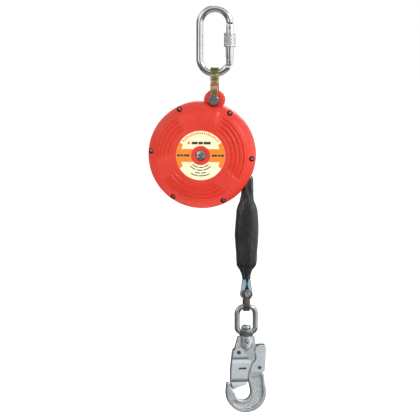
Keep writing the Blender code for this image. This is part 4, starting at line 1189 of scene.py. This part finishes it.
def hook_gate():
    left = [(-22.8, -587.2), (-24.4, -577.0), (-24.4, -559.0), (-22.6, -540.0), (-21.6, -528.2)]
    top = [(-18.9, -525.2)] + arc(HOOK_PIN, 6.4, 110, 40, 14)
    rest = [(8.2, -545.5), (6.0, -552.0), (2.2, -561.0), (1.4, -577.0), (-0.6, -581.4), (-8.0, -582.7)]
    rest += [(-16.0, -585.4), (-20.0, -588.2)]

    def shift(z):
        return 1.35 * window(z, -576.2, -541.5, 5.6) - 0.6

    hollow = [(x + SHEET_T, z) for x, z in left]
    hollow = [(hollow[0][0], -599.0)] + hollow[:-1] + [(-20.1, -529.0), (-30.0, -529.0), (-30.0, -515.0)]
    hollow += [(20.0, -515.0), (20.0, -599.0)]
    outline = left + top + rest
    gate = folded("gate_sheet", outline, hollow, HOOK_GATE_HALF, lambda x: x < -21.0, 2.2, shift)
    bored(gate, HOOK_PIN, HOOK_PIN_HOLE_R, THROUGH, tail=True)
    tab = arc((-2.2, -554.8), 1.5, -90, 90, 10) + arc((-11.6, -554.8), 1.5, 90, 270, 10)
    cut(gate, solid("slot", extruded(tab, *THROUGH), None, True))
    place(flattened(bevelled(gate, 0.22, 2, 50.0)), "hook_gate", "hook_gate", slot="zinc_forging")


def lock_lever():
    right = [(29.8, -519.0), (31.0, -522.0), (29.3, -545.0), (28.4, -558.8), (27.0, -560.4)]
    foot = [(6.2, -561.4), (5.2, -560.0), (6.4, -553.0), (9.2, -546.6)]
    bend = [(12.4, -544.6), (14.9, -540.4), (14.8, -535.0), (13.1, -529.5), (13.4, -525.0), (15.2, -521.2)]
    bend += [(19.0, -519.4)]
    hollow = [(29.3, -510.0), (29.3, -522.0), (27.6, -545.0), (26.7, -558.8), (26.7, -575.0), (-5.0, -575.0)]
    hollow += [(-5.0, -510.0)]
    outline = right + relaxed(resampled(foot + bend, 1.0), 8)
    lever = folded("lever_sheet", outline, hollow, LEVER_HALF, lambda x: x > 28.0, 2.0)
    bored(lever, LEVER_PIN, LEVER_PIN_HOLE_R, THROUGH, tail=True)
    lip = relaxed(resampled([(13.9, -523.0), (15.2, -521.0), (19.0, -519.4), (29.0, -519.2)], 1.0), 4)
    for y in (0.3 - LEVER_HALF, LEVER_HALF - 0.3):
        roll = swept([ring(0.9, 16)] * len(lip), lay(lip, y, "Y"), (0, 1, 0))
        join(lever, solid("lip", roll, SHEET, True))
    place(flattened(bevelled(lever, 0.22, 2, 50.0)), "lock_lever", "lock_lever", slot="zinc_forging")


def hook_rivets():
    """Rivets with ends that are pressed in at their middle, coloured in dark steel as painted shade of their
    recesses.
    """
    for name, node, at, r, half in (
        ("gate_rivet", "hook_gate_pin", HOOK_PIN, 3.0, 9.2),
        ("lever_rivet", "lock_lever_pin", LEVER_PIN, 2.6, 12.0),
    ):
        end = [(r * 0.35, -half + 1.1), (r * 0.55, -half + 0.3), (r * 0.75, -half), (r, -half + 0.5)]
        # Painted shade: the rivets take the dark steel so that they read as the shaded recesses round them.
        tail_rivet(name, node, at, end, DARK_STEEL_AND_RIVET_SHADE)


# ---- what stays as CAD made it ----

KEPT = {
    "carabiner_gate_spring": SPRING, "lug_bush": PLATED, "load_plate_front": PLATED,
    "load_plate_rear": PLATED, "shaft_clip_front": SPRING, "shaft_clip_rear": SPRING,
    "drum_bush": BRONZE, "drum": CAST, "wound_line": ROPE, "power_spring": SPRING,
    "spring_cover": PLATED, "ratchet_ring": PLATED, "pawl_1": PLATED, "pawl_2": PLATED,
    "pawl_pin_1": BOLT, "pawl_pin_2": BOLT, "pawl_spring_1": SPRING, "pawl_spring_2": SPRING,
    "friction_disc_inner": LINING, "friction_disc_outer": LINING, "brake_hub": PLATED,
    "pressure_plate": SPRING, "brake_nut": PLATED, "line_guide": GUIDE, "line_ferrule": CAST,
    "absorber_pack": WEBBING, "hook_gate_spring": SPRING, "lock_lever_spring": SPRING,
}


def finish_kept():
    for node, look in KEPT.items():
        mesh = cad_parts[node].data
        mesh.materials.clear()
        mesh.materials.append(look)


# ---- stage ----


# Grey of the studio round the object, by its bearing: (part of a turn from the rear over the left, grey).
WALLS = (
    (0.0, 0.05), (0.06, 0.08), (0.12, 0.35), (0.2, 0.3), (0.27, 0.1), (0.36, 0.3), (0.47, 0.28),
    (0.485, 0.14), (0.515, 0.14), (0.54, 0.75), (0.6, 1.05), (0.66, 1.2), (0.8, 1.2), (0.9, 0.9),
    (0.95, 0.2), (1.0, 0.05),
)


def floor():
    mesh = bpy.data.meshes.new("floor")
    corners = [(-30, -30, -0.72), (30, -30, -0.72), (30, 30, -0.72), (-30, 30, -0.72)]
    mesh.from_pydata(corners, [], [(0, 1, 2, 3)])
    made = Look("pale_floor", 0.8)
    made.paint(made.ramp(made.noise(3.0, 2.0, 0.5), (0.3, (0.89, 0.89, 0.89)), (0.7, (0.91, 0.91, 0.91))))
    made.shader.inputs["Emission Color"].default_value = (1.0, 1.0, 1.0, 1.0)
    made.shader.inputs["Emission Strength"].default_value = 0.3
    mesh.materials.append(made.made)
    plane = bpy.data.objects.new("floor", mesh)
    plane.visible_glossy = False
    bpy.context.scene.collection.objects.link(plane)


def lamps():
    for name, where, size, power in (
        ("key", (1.9, -1.1, 1.0), 0.7, 20.0),
        ("fill", (-1.2, -1.8, 0.2), 1.2, 5.0),
        ("back", (0.3, 1.6, 0.9), 1.2, 14.0),
    ):
        light = bpy.data.lights.new(name, "AREA")
        light.shape = "SQUARE"
        light.size = size
        light.energy = power
        lamp = bpy.data.objects.new(name, light)
        lamp.location = where
        way = Vector((0.0, 0.0, -0.3)) - Vector(where)
        lamp.rotation_euler = way.to_track_quat("-Z", "Y").to_euler()
        bpy.context.scene.collection.objects.link(lamp)


def studio():
    """White where it is looked at. Reflections see bands of grey, and other light has a bright ceiling."""
    world = bpy.data.worlds.new("studio")
    world.use_nodes = True
    made = Nodes(world.node_tree)

    def blend(share, low, high):
        mix = made.node("Mix", data_type="FLOAT")
        made.link(share, mix.inputs[0])
        for slot, value in ((mix.inputs[2], low), (mix.inputs[3], high)):
            if isinstance(value, float):
                slot.default_value = value
            else:
                made.link(value, slot)
        return mix.outputs[0]

    def step(low, high):
        return made.spread(way["Z"], low, high, interpolation_type="SMOOTHSTEP")

    paths = made.node("LightPath")
    way = made.split(made.node("TexCoord").outputs["Generated"])
    bearing = made.maths("ARCTAN2", way["X"], made.maths("MULTIPLY", way["Y"], -1.0))
    turn = made.spread(bearing, -math.pi, math.pi)
    walls = made.ramp(turn, *((at, (grey, grey, grey)) for at, grey in WALLS))
    level = blend(step(-0.12, -0.35), walls, 0.14)
    level = blend(step(-0.6, -0.8), level, 0.5)
    ceiling = blend(step(0.55, 0.8), 0.95, 0.4)
    ceiling = blend(step(0.85, 0.97), ceiling, 0.75)
    ceiling = blend(paths.outputs["Is Glossy Ray"], 1.05, ceiling)
    level = blend(step(0.2, 0.42), level, ceiling)
    background = made.tree.nodes["Background"]
    made.link(level, background.inputs["Color"])
    white = made.node("Background", Color=(1.0, 1.0, 1.0, 1.0))
    mix = made.node("MixShader")
    made.link(paths.outputs["Is Camera Ray"], mix.inputs["Fac"])
    made.link(background.outputs["Background"], mix.inputs[1])
    made.link(white.outputs["Background"], mix.inputs[2])
    made.link(mix.outputs["Shader"], made.tree.nodes["World Output"].inputs["Surface"])
    bpy.context.scene.world = world
    bpy.context.scene.view_settings.view_transform = "Standard"


def camera():
    aim = Vector((-0.0065, 0.0, -0.3074))
    distance = 3.0
    side, rise, roll = (math.radians(angle) for angle in (4.3, 5.0, 0.21))
    view = bpy.data.cameras.new("camera")
    view.lens = 164.7
    view.sensor_width = 36.0
    made = bpy.data.objects.new("camera", view)
    way = Vector((math.sin(side) * math.cos(rise), -math.cos(side) * math.cos(rise), math.sin(rise)))
    made.location = aim + way * distance
    facing = (aim - made.location).to_track_quat("-Z", "Y").to_matrix().to_4x4()
    made.rotation_euler = (facing @ Matrix.Rotation(roll, 4, "Z")).to_euler()
    bpy.context.scene.collection.objects.link(made)
    bpy.context.scene.camera = made


for build in (
    camera, floor, lamps, studio, carabiner, carabiner_gate, carabiner_rivets, lock_sleeve, top_shackle,
    lug_bolt, casing_covers, casing_screws, label, shaft, line_run, absorber_sleeve, thimble, lower_shackle,
    lower_bolt, swivel_ring, swivel_stud, hook_body, hook_gate, lock_lever, hook_rivets, finish_kept,
):
    build()
